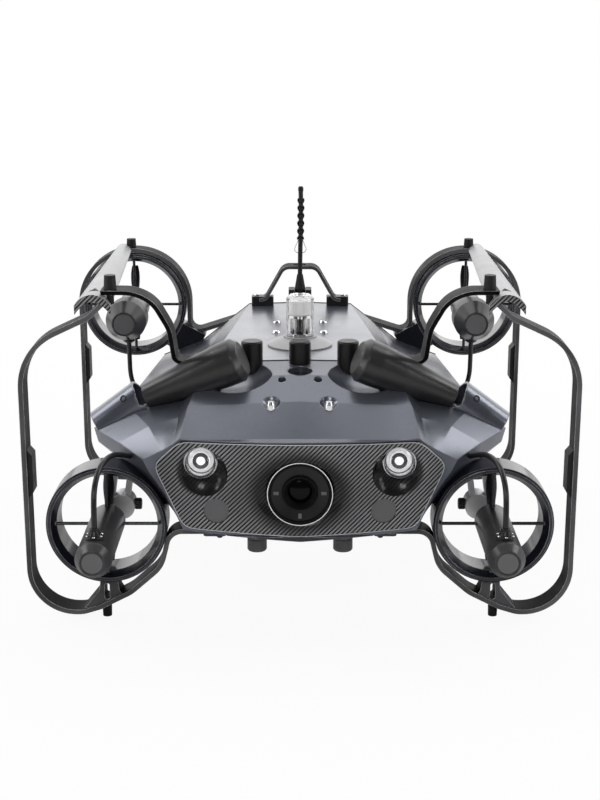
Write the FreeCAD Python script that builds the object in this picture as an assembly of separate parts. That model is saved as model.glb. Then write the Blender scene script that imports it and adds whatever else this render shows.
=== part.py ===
import FreeCAD, Part
import math
import os

# Underwater inspection vehicle: a faceted hull carried in four bent side frames, with four
# ducted thrusters, two deck pods, a camera bezel, a beacon, a carry handle and a tether.
# Millimetres, +Z up, front towards -Y. The model is drawn about a datum midway between the
# front and rear frame planes, with Z = 0 under the feet, and moved to its origin on export.

# ---------------------------------------------------------------- driving dimensions
FRAME_Y = 205.0              # front and rear frame planes stand this far from the datum
FRAME_HALF_WIDTH = 276.0     # outermost face of the side straps
STRAP = 5.0                  # strap thickness
STRAP_WIDTH = 26.0           # strap width along Y
FRONT_BOTTOM = 6.0           # underside of the front frame's lobe
REAR_BOTTOM = 16.0           # underside of the rear frame's lobe
FRONT_FLAT = 95.5            # centre of the front strap where it lies under the belly
REAR_FLAT = 92.0             # centre of the rear strap where it lies under the belly
STRAP_END_X = 88.0           # the straps end under the belly here
UPRIGHT = FRAME_HALF_WIDTH - STRAP / 2
GROUND = 0.0
TRIM_SPAN = 700.0            # side of the blocks that trim the hull, wider than the vehicle

RING_OUTER = 60.5            # front duct radius outside
REAR_RING_OUTER = 64.0       # rear duct radius outside
RING_WALL = 10.0
RING_DEPTH = 40.0
RING_LIP = 5.0               # flare of the bore at its mouth
SPOKE = 1.7                  # spoke radius
SPOKE_SET = 8.0              # the spokes lie this far behind the mouth
SPOKE_ROOT_R = 12.0          # where the spokes start inside the motor
FRONT_RING_INSET = 82.5      # from the frame's outer face in to the front duct's axis
FRONT_RING_X = FRAME_HALF_WIDTH - FRONT_RING_INSET
FRONT_RING_Z = 104.0
BEND_INSET = 62.5            # from that axis in to where a strap turns down from the belly
BEND_X = FRONT_RING_X - BEND_INSET
REAR_ARC_GAP = 1.0           # gap between the rear duct and its frame arc
REAR_RING_X = FRAME_HALF_WIDTH - STRAP - REAR_ARC_GAP - REAR_RING_OUTER
REAR_RING_Z = 246.5
REAR_ARC = REAR_RING_OUTER + REAR_ARC_GAP + STRAP / 2    # centreline radius of that arc
REAR_TOP = REAR_RING_Z + REAR_ARC + STRAP / 2            # top of the arc

CAN_R = 17.5                 # front motor can radius
CAN_NOSE_Y = -328.0
CAN_TAIL_Y = -203.0
POD_R = 24.0                 # rear motor pod radius
POD_NOSE_R = 14.0
POD_NOSE_Y = 70.0
POD_TAIL_Y = 196.0

SHAFT_R = 3.0
SHAFT_FIT = 0.05             # radial running clearance of a propeller shaft
TIP_GAP = 3.5                # between a blade's tip and its duct
BLADE_TIP_R = RING_OUTER - RING_WALL - TIP_GAP
BLADE_CHORD = 13.0
BLADE_THICK = 1.8
HUB_R = 9.0
HUB_LENGTH = 13.0
AXIAL_GAP = 0.6              # between a hub and the motor that turns it
COLLAR_R = 8.0               # tail bearing collar
COLLAR_LENGTH = 22.0

NOSE_Y = -262.0              # front plane of the hull's blank
CHEEK_Y = -232.0             # hull stations behind it
BROW_Y = -192.0
SHOULDER_Y = -155.0
STERN_Y = 222.0
BEZEL_FRONT_Y = -245.0       # foremost point of the curved bezel
BEZEL_BACK_Y = -200.0        # back plane of the bezel's blank
BEZEL_CURVE = 618.0          # radius of its curve, about an upright axis
BEZEL_DEPTH = 22.0
RIM = 3.0                    # hull wall round the bezel
BELLY_TOP = 99.0             # joint between the belly pan and the upper shell
SEAM_Y = -115.0              # joint between the front and rear shells
COVER_Y = 198.0              # joint between the rear shell and its cover
DECK_Z = 248.0

LENS_Z = 144.0
LENS_RING_R = 32.5
LENS_TRIM = 4.0              # width of the camera's trim ring
LENS_FACE_R = LENS_RING_R - LENS_TRIM
LENS_BARREL_R = 17.0
LENS_GLASS_R = 12.0
LENS_DOME_R = 27.0           # curve of the lens glass
LENS_SET = 7.0               # the glass lies this far behind the bezel's foremost point
CAMERA_DEPTH = 22.0
LIGHT_X = 97.5
LIGHT_Z = 173.6
LIGHT_R = 16.5
SENSOR_X = 82.5
SENSOR_Z = 125.0
SENSOR_R = 12.5
LIGHT_BORE = 50.0            # depth of a lamp's bore from the front plane
SENSOR_BORE = 48.0           # and of a sensor window's

POST_R = 11.2
POST_HEIGHT = 26.0
POST_X = 50.0
POST_Y = -120.0
BEACON_Y = -38.0
BEACON_FLANGE_R = 35.5
BEACON_TUBE_R = 15.0
BEACON_WALL = 2.0
BEACON_TOP = 303.0
HANDLE_Y = 190.0
HANDLE_WIDTH = 24.0
HANDLE_STRAP = 4.0
TETHER_Y = 110.0
TETHER_D = 5.7
TETHER_TOP = 399.0
BOOT_TOP = 299.0
LEAD_D = 5.5                 # motor lead diameter

FOOT_X = FRONT_RING_X + 4.5
FOOT_R = 5.5
PAD_LENGTH = 50.0
PAD_THICK = 5.0
PAYLOAD_X = 120.0            # payload hole pattern under the belly, across
PAYLOAD_Y = 160.0            # and along
PAYLOAD_R = 2.1

ORIGIN_Y = (CAN_NOSE_Y + FRAME_Y + RING_DEPTH / 2) / 2

V = FreeCAD.Vector
X_AXIS = V(1, 0, 0)
Y_AXIS = V(0, 1, 0)
Z_AXIS = V(0, 0, 1)
nodes = {}


# ---------------------------------------------------------------- shared operations
def rounded_wire(corners, lift):
    """Closed wire through (u, v, radius) corners; lift turns (u, v) into a point in space."""
    count = len(corners)
    stops = []
    for i in range(count):
        here = V(corners[i][0], corners[i][1], 0)
        before = V(corners[i - 1][0], corners[i - 1][1], 0)
        after = V(corners[(i + 1) % count][0], corners[(i + 1) % count][1], 0)
        radius = corners[i][2]
        if radius <= 0:
            stops.append((here, None, here))
            continue
        way_in = (here - before).normalize()
        way_out = (after - here).normalize()
        reach = radius * math.tan(way_in.getAngle(way_out) / 2)
        start = here - way_in * reach
        end = here + way_out * reach
        inward = (way_out - way_in).normalize()
        centre = here + inward * math.hypot(radius, reach)
        stops.append((start, centre - inward * radius, end))
    edges = []
    for i in range(count):
        start, middle, end = stops[i]
        if middle is not None:
            arc = Part.Arc(lift(start.x, start.y), lift(middle.x, middle.y), lift(end.x, end.y))
            edges.append(arc.toShape())
        following = stops[(i + 1) % count][0]
        if end.distanceToPoint(following) > 1e-6:
            edges.append(Part.makeLine(lift(end.x, end.y), lift(following.x, following.y)))
    return Part.Wire(edges)


def plate(corners, y0, y1):
    """Solid with an XZ outline between two Y planes."""
    wire = rounded_wire(corners, lambda u, v: V(u, y0, v))
    return Part.Face(wire).extrude(V(0, y1 - y0, 0))


def slab(corners, z0, z1):
    """Solid with an XY outline between two heights."""
    wire = rounded_wire(corners, lambda u, v: V(u, v, z0))
    return Part.Face(wire).extrude(V(0, 0, z1 - z0))


def strap_outline(path, thickness):
    """Corners of a band of even thickness along an open path of (u, v, radius)."""
    half = thickness / 2
    points = [V(p[0], p[1], 0) for p in path]
    ways = [(points[i + 1] - points[i]).normalize() for i in range(len(points) - 1)]
    sides = {1: [], -1: []}
    for side in (1, -1):
        for i, point in enumerate(points):
            first = ways[max(i - 1, 0)]
            second = ways[min(i, len(ways) - 1)]
            normal_a = V(-first.y, first.x, 0)
            normal_b = V(-second.y, second.x, 0)
            offset = (normal_a + normal_b) * (half * side / (1 + normal_a.dot(normal_b)))
            turn = first.x * second.y - first.y * second.x
            bend = 1 if turn > 0 else -1
            radius = path[i][2] - side * bend * half if path[i][2] > 0 else 0
            corner = point + offset
            sides[side].append((corner.x, corner.y, radius))
    return sides[1] + sides[-1][::-1]


def strap(path, thickness, y0, y1):
    return plate(strap_outline(path, thickness), y0, y1)


def rod(radius, start, end):
    """Round bar between two points."""
    return Part.makeCylinder(radius, start.distanceToPoint(end), start, end - start)


def turned(profile, base, axis):
    """Solid of revolution: (radius, height) corners about an axis through base."""
    side = V(0, 0, 1) if abs(axis.z) < 0.9 else V(1, 0, 0)
    side = (side - axis * side.dot(axis)).normalize()
    points = [base + side * r + axis * h for r, h in profile]
    face = Part.Face(Part.makePolygon(points + [points[0]]))
    return face.revolve(base, axis, 360)


def main_solid(shape):
    """Largest solid of a trimmed shape."""
    return max(shape.Solids, key=lambda solid: solid.Volume)


def seat(piece, *carriers):
    """Trim a piece against what carries it, so that the two meet face to face."""
    for carrier in carriers:
        piece = piece.cut(carrier)
    return main_solid(piece)


def mirrored(shape):
    return shape.mirror(V(0, 0, 0), X_AXIS)


def both_sides(name, right):
    """Keep a right-hand piece and its left-hand twin as two nodes."""
    nodes[name + "_right"] = right
    nodes[name + "_left"] = mirrored(right)


def group(*solids):
    return Part.makeCompound(list(solids))


def paired(name, right):
    """Keep a right-hand piece and its left-hand twin as two solids of one node."""
    nodes[name] = group(right, mirrored(right))


# ---------------------------------------------------------------- hull
def hull_section(y, half):
    """Closed section of the hull from its right-hand half, listed from deck to belly."""
    right = [V(x, y, z) for x, z in half]
    left = [V(-x, y, z) for x, z in half if x > 0][::-1]
    points = right + left
    return Part.makePolygon(points + [points[0]])


NOSE = ((0, 196), (118, 196), (125, 190), (134, 181), (147, 170), (140, 157), (130, 137), (116, 102), (0, 94))
BROW = ((0, 224), (112, 219), (122, 207), (152, 198), (182, 181), (180, 165), (158, 142), (116, 98), (0, 92))
SHOULDER = ((0, 243), (102, 237), (120, 217), (173, 206), (212, 186), (208, 171), (178, 145), (115, 95), (0, 91))
SEAM = ((0, DECK_Z), (95, 246), (112, 228), (165, 201), (199, 182), (196, 168), (171, 143), (113, 95), (0, 91))
TAIL = ((0, DECK_Z), (63, 246), (95, 221), (120, 201), (171, 181), (167, 166), (150, 142), (100, 95), (0, 91))
STERN = ((0, 238), (52, 236), (82, 214), (106, 196), (147, 179), (145, 167), (132, 144), (92, 104), (0, 102))


def make_hull():
    fore = Part.makeLoft([hull_section(NOSE_Y, NOSE), hull_section(CHEEK_Y, NOSE)], True, True)
    cheek = Part.makeLoft([hull_section(CHEEK_Y, NOSE), hull_section(BROW_Y, BROW)], True, True)
    brow = Part.makeLoft([hull_section(BROW_Y, BROW), hull_section(SHOULDER_Y, SHOULDER)], True, True)
    wing = Part.makeLoft([hull_section(SHOULDER_Y, SHOULDER), hull_section(SEAM_Y, SEAM)], True, True)
    front = fore.fuse(cheek).fuse(brow).fuse(wing)
    rear = Part.makeLoft([hull_section(SEAM_Y, SEAM), hull_section(COVER_Y, TAIL)], True, True)
    cover = Part.makeLoft([hull_section(COVER_Y, TAIL), hull_section(STERN_Y, STERN)], True, True)
    return front, rear, cover


def bezel_drum(inset):
    """Upright drum whose face follows the bezel's curve, set back by inset."""
    radius = BEZEL_CURVE - inset
    return Part.makeCylinder(radius, TRIM_SPAN, V(0, BEZEL_FRONT_Y + BEZEL_CURVE, 0), Z_AXIS)


BEZEL_OUTLINE = (
    (118, 194, 6), (144.5, 169, 9), (115, 106, 10), (0, 100, 900),
    (-115, 106, 10), (-144.5, 169, 9), (-118, 194, 6),
)


def make_bezel():
    block = plate(BEZEL_OUTLINE, NOSE_Y, BEZEL_BACK_Y)
    bezel = block.common(bezel_drum(0)).cut(bezel_drum(BEZEL_DEPTH))
    bowl = Part.makeSphere(72.0, V(0, 0, 0))
    stretch = FreeCAD.Matrix()
    stretch.scale(1.46, 1.0, 1.0)
    bowl = bowl.transformGeometry(stretch)
    bowl.translate(V(0, BEZEL_FRONT_Y - 64.0, LENS_Z))
    bezel = bezel.cut(bowl)
    for side in (-1, 1):
        scoop = Part.makeSphere(34.0, V(side * LIGHT_X, NOSE_Y, LIGHT_Z - 10.0))
        bezel = bezel.cut(scoop)
        for radius, x, z in ((LIGHT_R, LIGHT_X, LIGHT_Z), (SENSOR_R, SENSOR_X, SENSOR_Z)):
            bezel = bezel.cut(rod(radius, V(side * x, NOSE_Y, z), V(side * x, BEZEL_BACK_Y + 10, z)))
    bezel = bezel.cut(rod(LENS_RING_R, V(0, NOSE_Y, LENS_Z), V(0, BEZEL_BACK_Y + 10, LENS_Z)))
    return main_solid(bezel)


def make_camera():
    """Camera port: trim ring, matt face, stepped barrel and lens glass."""
    base = V(0, BEZEL_FRONT_Y, LENS_Z)
    face = LENS_FACE_R
    back = CAMERA_DEPTH
    well = LENS_SET + 5
    ring = turned([(face, back), (LENS_RING_R, back), (LENS_RING_R, 1), (LENS_RING_R - 1, 0), (face + 1, 0),
                   (face, 1)], base, Y_AXIS)
    annulus = turned([(LENS_BARREL_R, back), (face, back), (face, 2.5), (LENS_BARREL_R, 5.5)], base, Y_AXIS)
    barrel = turned([(0, back), (LENS_BARREL_R, back), (LENS_BARREL_R, 3.5), (LENS_BARREL_R - 1.5, 2.5),
                     (LENS_GLASS_R, LENS_SET + 0.5), (LENS_GLASS_R, well), (0, well)], base, Y_AXIS)
    crown = V(0, BEZEL_FRONT_Y + LENS_SET + LENS_DOME_R, LENS_Z)
    glass = rod(LENS_GLASS_R, base, base + Y_AXIS * well)
    glass = glass.common(Part.makeSphere(LENS_DOME_R, crown))
    nodes["camera_trim_ring"] = ring
    nodes["camera_face"] = annulus
    nodes["camera_barrel"] = barrel
    nodes["camera_lens"] = glass


def make_lights():
    """Each lamp: metal cup in the bezel, emitter on its floor and a clear dome over it."""
    base = V(LIGHT_X, -246.0, LIGHT_Z)
    cup = turned([(0, 34), (LIGHT_R, 34), (LIGHT_R, 12), (LIGHT_R - 2, 12), (LIGHT_R - 2, 22), (0, 22)],
                 base, Y_AXIS)
    emitter = turned([(0, 22), (9, 22), (9, 18), (6, 17), (0, 17)], base, Y_AXIS)
    dome = Part.makeSphere(LIGHT_R, base + V(0, 14, 0))
    dome = dome.common(rod(LIGHT_R, base + V(0, -5, 0), base + V(0, 12, 0)))
    hollow = Part.makeSphere(LIGHT_R - 2, base + V(0, 14, 0))
    dome = dome.cut(hollow)
    paired("light_cups", cup)
    paired("light_emitters", emitter)
    paired("light_domes", main_solid(dome))
    sensor = rod(SENSOR_R, V(SENSOR_X, BEZEL_FRONT_Y, SENSOR_Z), V(SENSOR_X, NOSE_Y + SENSOR_BORE, SENSOR_Z))
    sensor = sensor.common(bezel_drum(0.8))
    paired("sensor_windows", sensor)


def make_shells():
    front, rear, cover = make_hull()
    bezel = make_bezel()
    belly_box = Part.makeBox(TRIM_SPAN, TRIM_SPAN, BELLY_TOP, V(-TRIM_SPAN / 2, -TRIM_SPAN / 2, 0))
    skin = front.common(bezel_drum(RIM))
    front_upper = skin.cut(belly_box)
    pocket = plate(BEZEL_OUTLINE, NOSE_Y, BEZEL_BACK_Y).cut(bezel_drum(BEZEL_DEPTH))
    front_upper = front_upper.cut(pocket)
    for side in (-1, 1):
        axis_start = V(side * LIGHT_X, NOSE_Y, LIGHT_Z)
        front_upper = front_upper.cut(rod(LIGHT_R, axis_start, axis_start + Y_AXIS * LIGHT_BORE))
        axis_start = V(side * SENSOR_X, NOSE_Y, SENSOR_Z)
        front_upper = front_upper.cut(rod(SENSOR_R, axis_start, axis_start + Y_AXIS * SENSOR_BORE))
    front_upper = main_solid(front_upper)
    whole = front.common(bezel_drum(RIM / 2)).fuse(rear).fuse(cover)
    belly = whole.common(belly_box)
    belly = belly.cut(pocket)
    for x in (-PAYLOAD_X / 2, PAYLOAD_X / 2):
        for y in (ORIGIN_Y - PAYLOAD_Y / 2, ORIGIN_Y + PAYLOAD_Y / 2):
            belly = belly.cut(rod(PAYLOAD_R, V(x, y, GROUND), V(x, y, BELLY_TOP)))
    return front_upper, rear.cut(belly_box), cover.cut(belly_box), main_solid(belly), bezel


# ---------------------------------------------------------------- deck pods and cowls
POD_IN = V(58, -162.5, 262)
POD_OUT = V(157, -150, 218)


DECK_POD_R = 23.0
DECK_POD_END_R = 13.0
SADDLE_RUN = 8.0             # clear space beyond a pod's outer end


def pod_profile(length):
    """Radius and height corners of a deck pod, without its end face."""
    return [(0, 0), (DECK_POD_R - 5.5, 0), (DECK_POD_R, 6), (DECK_POD_R, 22), (DECK_POD_R - 2.5, 50),
            (DECK_POD_END_R, length)]


def make_deck_pod():
    """Tapered pod lying across the shoulder, with a chamfered inner end."""
    length = POD_IN.distanceToPoint(POD_OUT)
    return turned(pod_profile(length) + [(0, length)], POD_IN, (POD_OUT - POD_IN).normalize())


def make_pod_saddle():
    """Space that the pod needs in the shoulder."""
    length = POD_IN.distanceToPoint(POD_OUT)
    end = length + SADDLE_RUN
    profile = pod_profile(length) + [(DECK_POD_END_R, end), (0, end)]
    return turned(profile, POD_IN, (POD_OUT - POD_IN).normalize())


COWL_MOUTH = V(161, -141, 214)
COWL_WAY = V(0.8, 0, -0.6)
COWL_R = 21.0
COWL_WALL = 2.5
COWL_LENGTH = 54.0
COWL_BORE = 26.0


def make_cowl(shells):
    """Round outlet cowl on the shoulder, open towards the pod."""
    cowl = rod(COWL_R, COWL_MOUTH, COWL_MOUTH + COWL_WAY * COWL_LENGTH)
    cowl = cowl.cut(rod(COWL_R - COWL_WALL, COWL_MOUTH - COWL_WAY * 2, COWL_MOUTH + COWL_WAY * COWL_BORE))
    cowl = cowl.cut(make_pod_saddle())
    return seat(cowl, *shells)


# ---------------------------------------------------------------- frames
BUMPER_X = 184.0
BUMPER_Z = 340.0
BUMPER_HEIGHT = 14.0
STEM_R = 3.5
RAIL_FRONT = (BUMPER_X + 16.0, -FRAME_Y - 14.0, BUMPER_Z - 3.0)
RAIL_REAR = (REAR_RING_X + 14.0, FRAME_Y + 9.0, REAR_TOP + 3.0)
LOBE_SHARES = (0.062, 0.285, 0.505, 0.63)
LOBE_RADII = (0.235, 0.275, 0.15, 0.205, 0.325)


def lower_path(bottom, flat):
    """Centreline of a frame from the belly out to the foot of its upright.

    The bends keep their share of the reach from the belly to the upright.
    """
    lift = bottom + STRAP / 2
    reach = UPRIGHT - BEND_X
    heights = (58, 27 + bottom / 2, 8 + bottom, lift, lift)
    path = [(STRAP_END_X, flat, 0), (BEND_X, flat, 16)]
    for share, height, radius in zip(LOBE_SHARES + (1.0,), heights, LOBE_RADII):
        path.append((BEND_X + share * reach, height, radius * reach))
    return path


def front_frame():
    path = lower_path(FRONT_BOTTOM, FRONT_FLAT)
    path += [(UPRIGHT, BUMPER_Z - 58, 60), (RAIL_FRONT[0] + 5, BUMPER_Z - 26, 20),
             (RAIL_FRONT[0] - 10.5, RAIL_FRONT[2] - 8, 0)]
    return strap(path, STRAP, -FRAME_Y - STRAP_WIDTH / 2, -FRAME_Y + STRAP_WIDTH / 2)


def rear_frame():
    inner = REAR_RING_X - REAR_ARC
    top = REAR_RING_Z + REAR_ARC
    path = lower_path(REAR_BOTTOM, REAR_FLAT) + [
        (UPRIGHT, top, REAR_ARC - 0.5), (inner, top, REAR_ARC - 0.5), (inner, 208, 12), (70, 230, 0),
    ]
    return strap(path, STRAP, FRAME_Y - STRAP_WIDTH / 2, FRAME_Y + STRAP_WIDTH / 2)


def s_arm():
    """Curved arm from the bumper down and back to the deck."""
    crown = BUMPER_Z - STRAP / 2
    path = [(BUMPER_X + 9, crown, 0), (148, crown - 0.5, 34), (131, crown - 45.5, 40), (129.5, DECK_Z + 2, 9),
            (92, DECK_Z - 4.5, 0)]
    sheet = strap(path, STRAP, -250, -60)
    top, foot_y = -FRAME_Y + 1, POST_Y + 15
    band = ((top - 15, BUMPER_Z + 6, 0), (top + 15, BUMPER_Z + 6, 0), (foot_y + 15, DECK_Z - 12, 0),
            (foot_y - 15, DECK_Z - 12, 0))
    wire = rounded_wire(band, lambda u, v: V(90, u, v))
    slant = Part.Face(wire).extrude(V(120, 0, 0))
    return main_solid(sheet.common(slant))


def arch_wire(x, y, z, width, rise, thick):
    """Section of an arched rail: outer and inner arcs joined at the edges."""
    half = width / 2
    outer = Part.Arc(V(x - half, y, z - rise), V(x, y, z), V(x + half, y, z - rise)).toShape()
    inner = Part.Arc(V(x + half - thick, y, z - rise - thick / 2), V(x, y, z - thick),
                     V(x - half + thick, y, z - rise - thick / 2)).toShape()
    right = Part.makeLine(V(x + half, y, z - rise), V(x + half - thick, y, z - rise - thick / 2))
    left = Part.makeLine(V(x - half + thick, y, z - rise - thick / 2), V(x - half, y, z - rise))
    return Part.Wire([outer, right, inner, left])


def top_rail():
    """Arched rail, wide at the front frame and narrow at the rear arc."""
    front = arch_wire(*RAIL_FRONT, 36.0, 11.0, 3.0)
    rear = arch_wire(*RAIL_REAR, 20.0, 6.0, 3.0)
    rail = Part.makeLoft([front, rear], True, True)
    corners = ((196, -192, 1), (208, -192, 1), (203, -172, 1))
    return rail.cut(slab(corners, BUMPER_Z - 40, BUMPER_Z + 10))


def bumper(x, y, z, stem_bottom):
    cap = Part.makeCone(6.3, 5.5, BUMPER_HEIGHT, V(x, y, z), Z_AXIS)
    stem = rod(STEM_R, V(x, y, stem_bottom), V(x, y, z))
    return cap.fuse(stem)


def foot(y, carrier):
    post = Part.makeCone(4.6, FOOT_R, 30, V(FOOT_X, y, GROUND), Z_AXIS)
    trimmed = post.cut(carrier)
    return min(trimmed.Solids, key=lambda solid: solid.CenterOfMass.z)


def side_pad(y, z):
    """Rubber pad inside an upright, with sloped ends."""
    face = FRAME_HALF_WIDTH - STRAP
    inner = face - PAD_THICK
    corners = ((face, z - PAD_LENGTH / 2, 0), (face, z + PAD_LENGTH / 2, 0),
               (inner, z + PAD_LENGTH / 2 - 6, 1), (inner, z - PAD_LENGTH / 2 + 6, 1))
    return plate(corners, y - 10, y + 10)


def make_yoke(ring, frame):
    """Forked foot between the front duct and its frame, with a slot through it."""
    x = FRONT_RING_X
    top = FRONT_RING_Z - RING_OUTER + 4
    corners = ((x - 8, top, 0), (x + 9, top, 0), (x + 10, 32, 5), (x + 26, 12, 0), (x - 18, 18, 0),
               (x - 10, 32, 5))
    yoke = plate(corners, -FRAME_Y - 11, -FRAME_Y + 11)
    slot = plate(((x + 0, 22, 2), (x + 5, 22, 2), (x + 5, 39, 2), (x + 0, 39, 2)), -FRAME_Y - 12, -FRAME_Y + 12)
    return seat(yoke.cut(slot), ring, frame)


# ---------------------------------------------------------------- thrusters
def duct(x, y, z, outer, motor):
    """Thruster duct with a flared lip and four spokes that reach the motor."""
    half = RING_DEPTH / 2
    inner = outer - RING_WALL
    profile = [
        (inner, half), (outer - 3, half), (outer, half - 4), (outer, -half + 2),
        (outer - 2, -half), (inner + RING_LIP, -half), (inner, -half + 9),
    ]
    ring = turned(profile, V(x, y, z), Y_AXIS)
    reach = inner + 2
    centre = V(x, y - half + SPOKE_SET, z)
    for way in (X_AXIS, Z_AXIS, X_AXIS * -1, Z_AXIS * -1):
        ring = ring.fuse(rod(SPOKE, centre + way * SPOKE_ROOT_R, centre + way * reach))
    return main_solid(ring.cut(motor))


def front_motor():
    """Sealed motor can with a chamfered nose and a shaft bore in its tail."""
    x, z = FRONT_RING_X, FRONT_RING_Z
    length = CAN_TAIL_Y - CAN_NOSE_Y
    profile = [(0, 1.5), (10.5, 1.5), (10.5, 0), (12, 0), (CAN_R, 9), (CAN_R, length - 5), (14, length), (0, length)]
    can = turned(profile, V(x, CAN_NOSE_Y, z), Y_AXIS)
    bore = rod(SHAFT_R + SHAFT_FIT, V(x, CAN_TAIL_Y - 16, z), V(x, CAN_TAIL_Y + 1, z))
    return can.cut(bore)


def rear_motor():
    x, z = REAR_RING_X, REAR_RING_Z
    length = POD_TAIL_Y - POD_NOSE_Y
    profile = [(0, 1.5), (POD_NOSE_R - 1.5, 1.5), (POD_NOSE_R - 1.5, 0), (POD_NOSE_R, 0), (POD_R, 22),
               (POD_R, 48), (19, 62), (19, length - 14), (13, length), (0, length)]
    pod = turned(profile, V(x, POD_NOSE_Y, z), Y_AXIS)
    bore = rod(SHAFT_R + SHAFT_FIT, V(x, POD_TAIL_Y - 16, z), V(x, POD_TAIL_Y + 1, z))
    return pod.cut(bore)


def blade_section(centre, way, pitch, chord, radius):
    """Lens-shaped blade section at a radius, pitched about the blade's own line."""
    across = way.cross(Y_AXIS).normalize()
    lean = math.radians(pitch)
    along = across * math.cos(lean) + Y_AXIS * math.sin(lean)
    thick = (along.cross(way)).normalize() * (BLADE_THICK / 2)
    middle = centre + way * radius
    lead = middle + along * (chord / 2)
    trail = middle - along * (chord / 2)
    upper = Part.Arc(lead, middle + thick, trail).toShape()
    lower = Part.Arc(trail, middle - thick, lead).toShape()
    return Part.Wire([upper, lower])


def propeller(x, y, z, hand):
    """Two twisted blades on a domed hub, bored for its shaft."""
    half = HUB_LENGTH / 2
    profile = [(SHAFT_R, -half), (HUB_R - 2, -half), (HUB_R, -half + 2), (HUB_R, half - 4), (HUB_R - 4, half),
               (SHAFT_R, half)]
    centre = V(x, y, z)
    screw = turned(profile, centre, Y_AXIS)
    for way in (Z_AXIS, Z_AXIS * -1):
        stations = ((HUB_R - 2, 60, 0.8), (20, 50, 1.0), (34, 40, 1.0), (BLADE_TIP_R, 32, 0.62))
        wires = [blade_section(centre, way, hand * pitch, BLADE_CHORD * share, r) for r, pitch, share in stations]
        screw = screw.fuse(Part.makeLoft(wires, True, False))
    screw = screw.cut(rod(SHAFT_R, V(x, y - half - 9, z), V(x, y + half + 9, z)))
    return main_solid(screw)


FRONT_PROP_Y = CAN_TAIL_Y + AXIAL_GAP + HUB_LENGTH / 2
REAR_PROP_Y = POD_TAIL_Y + AXIAL_GAP + HUB_LENGTH / 2
COLLAR_Y = FRONT_PROP_Y + HUB_LENGTH / 2 + 8.0


def front_shaft():
    return rod(SHAFT_R, V(FRONT_RING_X, CAN_TAIL_Y - 14, FRONT_RING_Z),
               V(FRONT_RING_X, COLLAR_Y + COLLAR_LENGTH - 4, FRONT_RING_Z))


def rear_shaft():
    return rod(SHAFT_R, V(REAR_RING_X, POD_TAIL_Y - 14, REAR_RING_Z),
               V(REAR_RING_X, REAR_PROP_Y + HUB_LENGTH / 2 - 1, REAR_RING_Z))


def tail_bracket(shells):
    """Tail bearing collar with a clamp boss and two flat arms up to the hull."""
    x, z = FRONT_RING_X, FRONT_RING_Z
    y0 = COLLAR_Y
    y1 = COLLAR_Y + COLLAR_LENGTH
    body = rod(COLLAR_R, V(x, y0, z), V(x, y1, z))
    body = body.fuse(rod(13, V(x - 11, y0, z + 5), V(x - 11, y1, z + 5)))
    for shift in (-15, 1):
        corners = ((x + shift - 3, z + 8, 0), (x + shift + 3, z + 8, 0),
                   (x + shift - 9, 190, 0), (x + shift - 15, 190, 0))
        body = body.fuse(plate(corners, y0 + 5, y1 - 5))
    bore = rod(SHAFT_R + SHAFT_FIT, V(x, y0 - 1, z), V(x, y1 - 3, z))
    body = body.cut(bore)
    body = body.cut(rod(2, V(x - 40, y0 + 11, z + 5), V(x - 16, y0 + 11, z + 5)))
    return seat(body, *shells)


def thumb_screw():
    """Knurled knob and stud that closes the collar."""
    x, z = FRONT_RING_X - 10, FRONT_RING_Z + 5
    y = COLLAR_Y + 11
    knob = turned([(0, 0), (5.5, 0), (6, 1), (6, 6), (5, 7), (0, 7)], V(x - 13.2, y, z), X_AXIS * -1)
    for i in range(10):
        angle = math.radians(36 * i)
        notch = V(x - 14, y + 6.3 * math.cos(angle), z + 6.3 * math.sin(angle))
        knob = knob.cut(rod(0.9, notch, notch - X_AXIS * 9))
    return knob.fuse(rod(2, V(x - 14, y, z), V(x - 7, y, z)))


def ring_arm(ring, frame, shells):
    """Web from the rear duct down to the shell."""
    x, z = REAR_RING_X, REAR_RING_Z
    corners = ((x - 38, z - 50, 0), (x - 58, z - 22, 0), (x - 88, z - 38, 0), (x - 72, z - 66, 0))
    web = plate(corners, COVER_Y - 12, COVER_Y + 14)
    return seat(web, ring, frame, *shells)


# ---------------------------------------------------------------- leads
def cord_tube(name, points, diameter):
    """Tube along straight runs joined by tangent arcs, and its length."""
    stops = [(points[0], None, points[0])]
    length = 0.0
    radii = []
    for i in range(1, len(points) - 1):
        before, here, after = points[i - 1], points[i], points[i + 1]
        way_in = (here - before).normalize()
        way_out = (after - here).normalize()
        turn = way_in.getAngle(way_out)
        shorter = min(here.distanceToPoint(before), here.distanceToPoint(after))
        reach = 0.45 * shorter
        radius = reach / math.tan(turn / 2)
        inward = (way_out - way_in).normalize()
        centre = here + inward * math.hypot(radius, reach)
        stops.append((here - way_in * reach, centre - inward * radius, here + way_out * reach))
        length += radius * turn
        radii.append(round(radius, 1))
    stops.append((points[-1], None, points[-1]))
    edges = []
    for i, (start, middle, end) in enumerate(stops):
        if middle is not None:
            edges.append(Part.Arc(start, middle, end).toShape())
        if i + 1 < len(stops):
            edges.append(Part.LineSegment(end, stops[i + 1][0]).toShape())
            length += end.distanceToPoint(stops[i + 1][0])
    spine = Part.Wire(edges)
    circle = Part.Wire(Part.makeCircle(diameter / 2, points[0], points[1] - points[0]))
    tube = spine.makePipeShell([circle], True, False, 2)
    section = math.pi * diameter ** 2 / 4
    print(name, "length", round(length, 1), "radii", radii, "volume ratio", round(tube.Volume / section / length, 4))
    return main_solid(tube)


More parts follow.
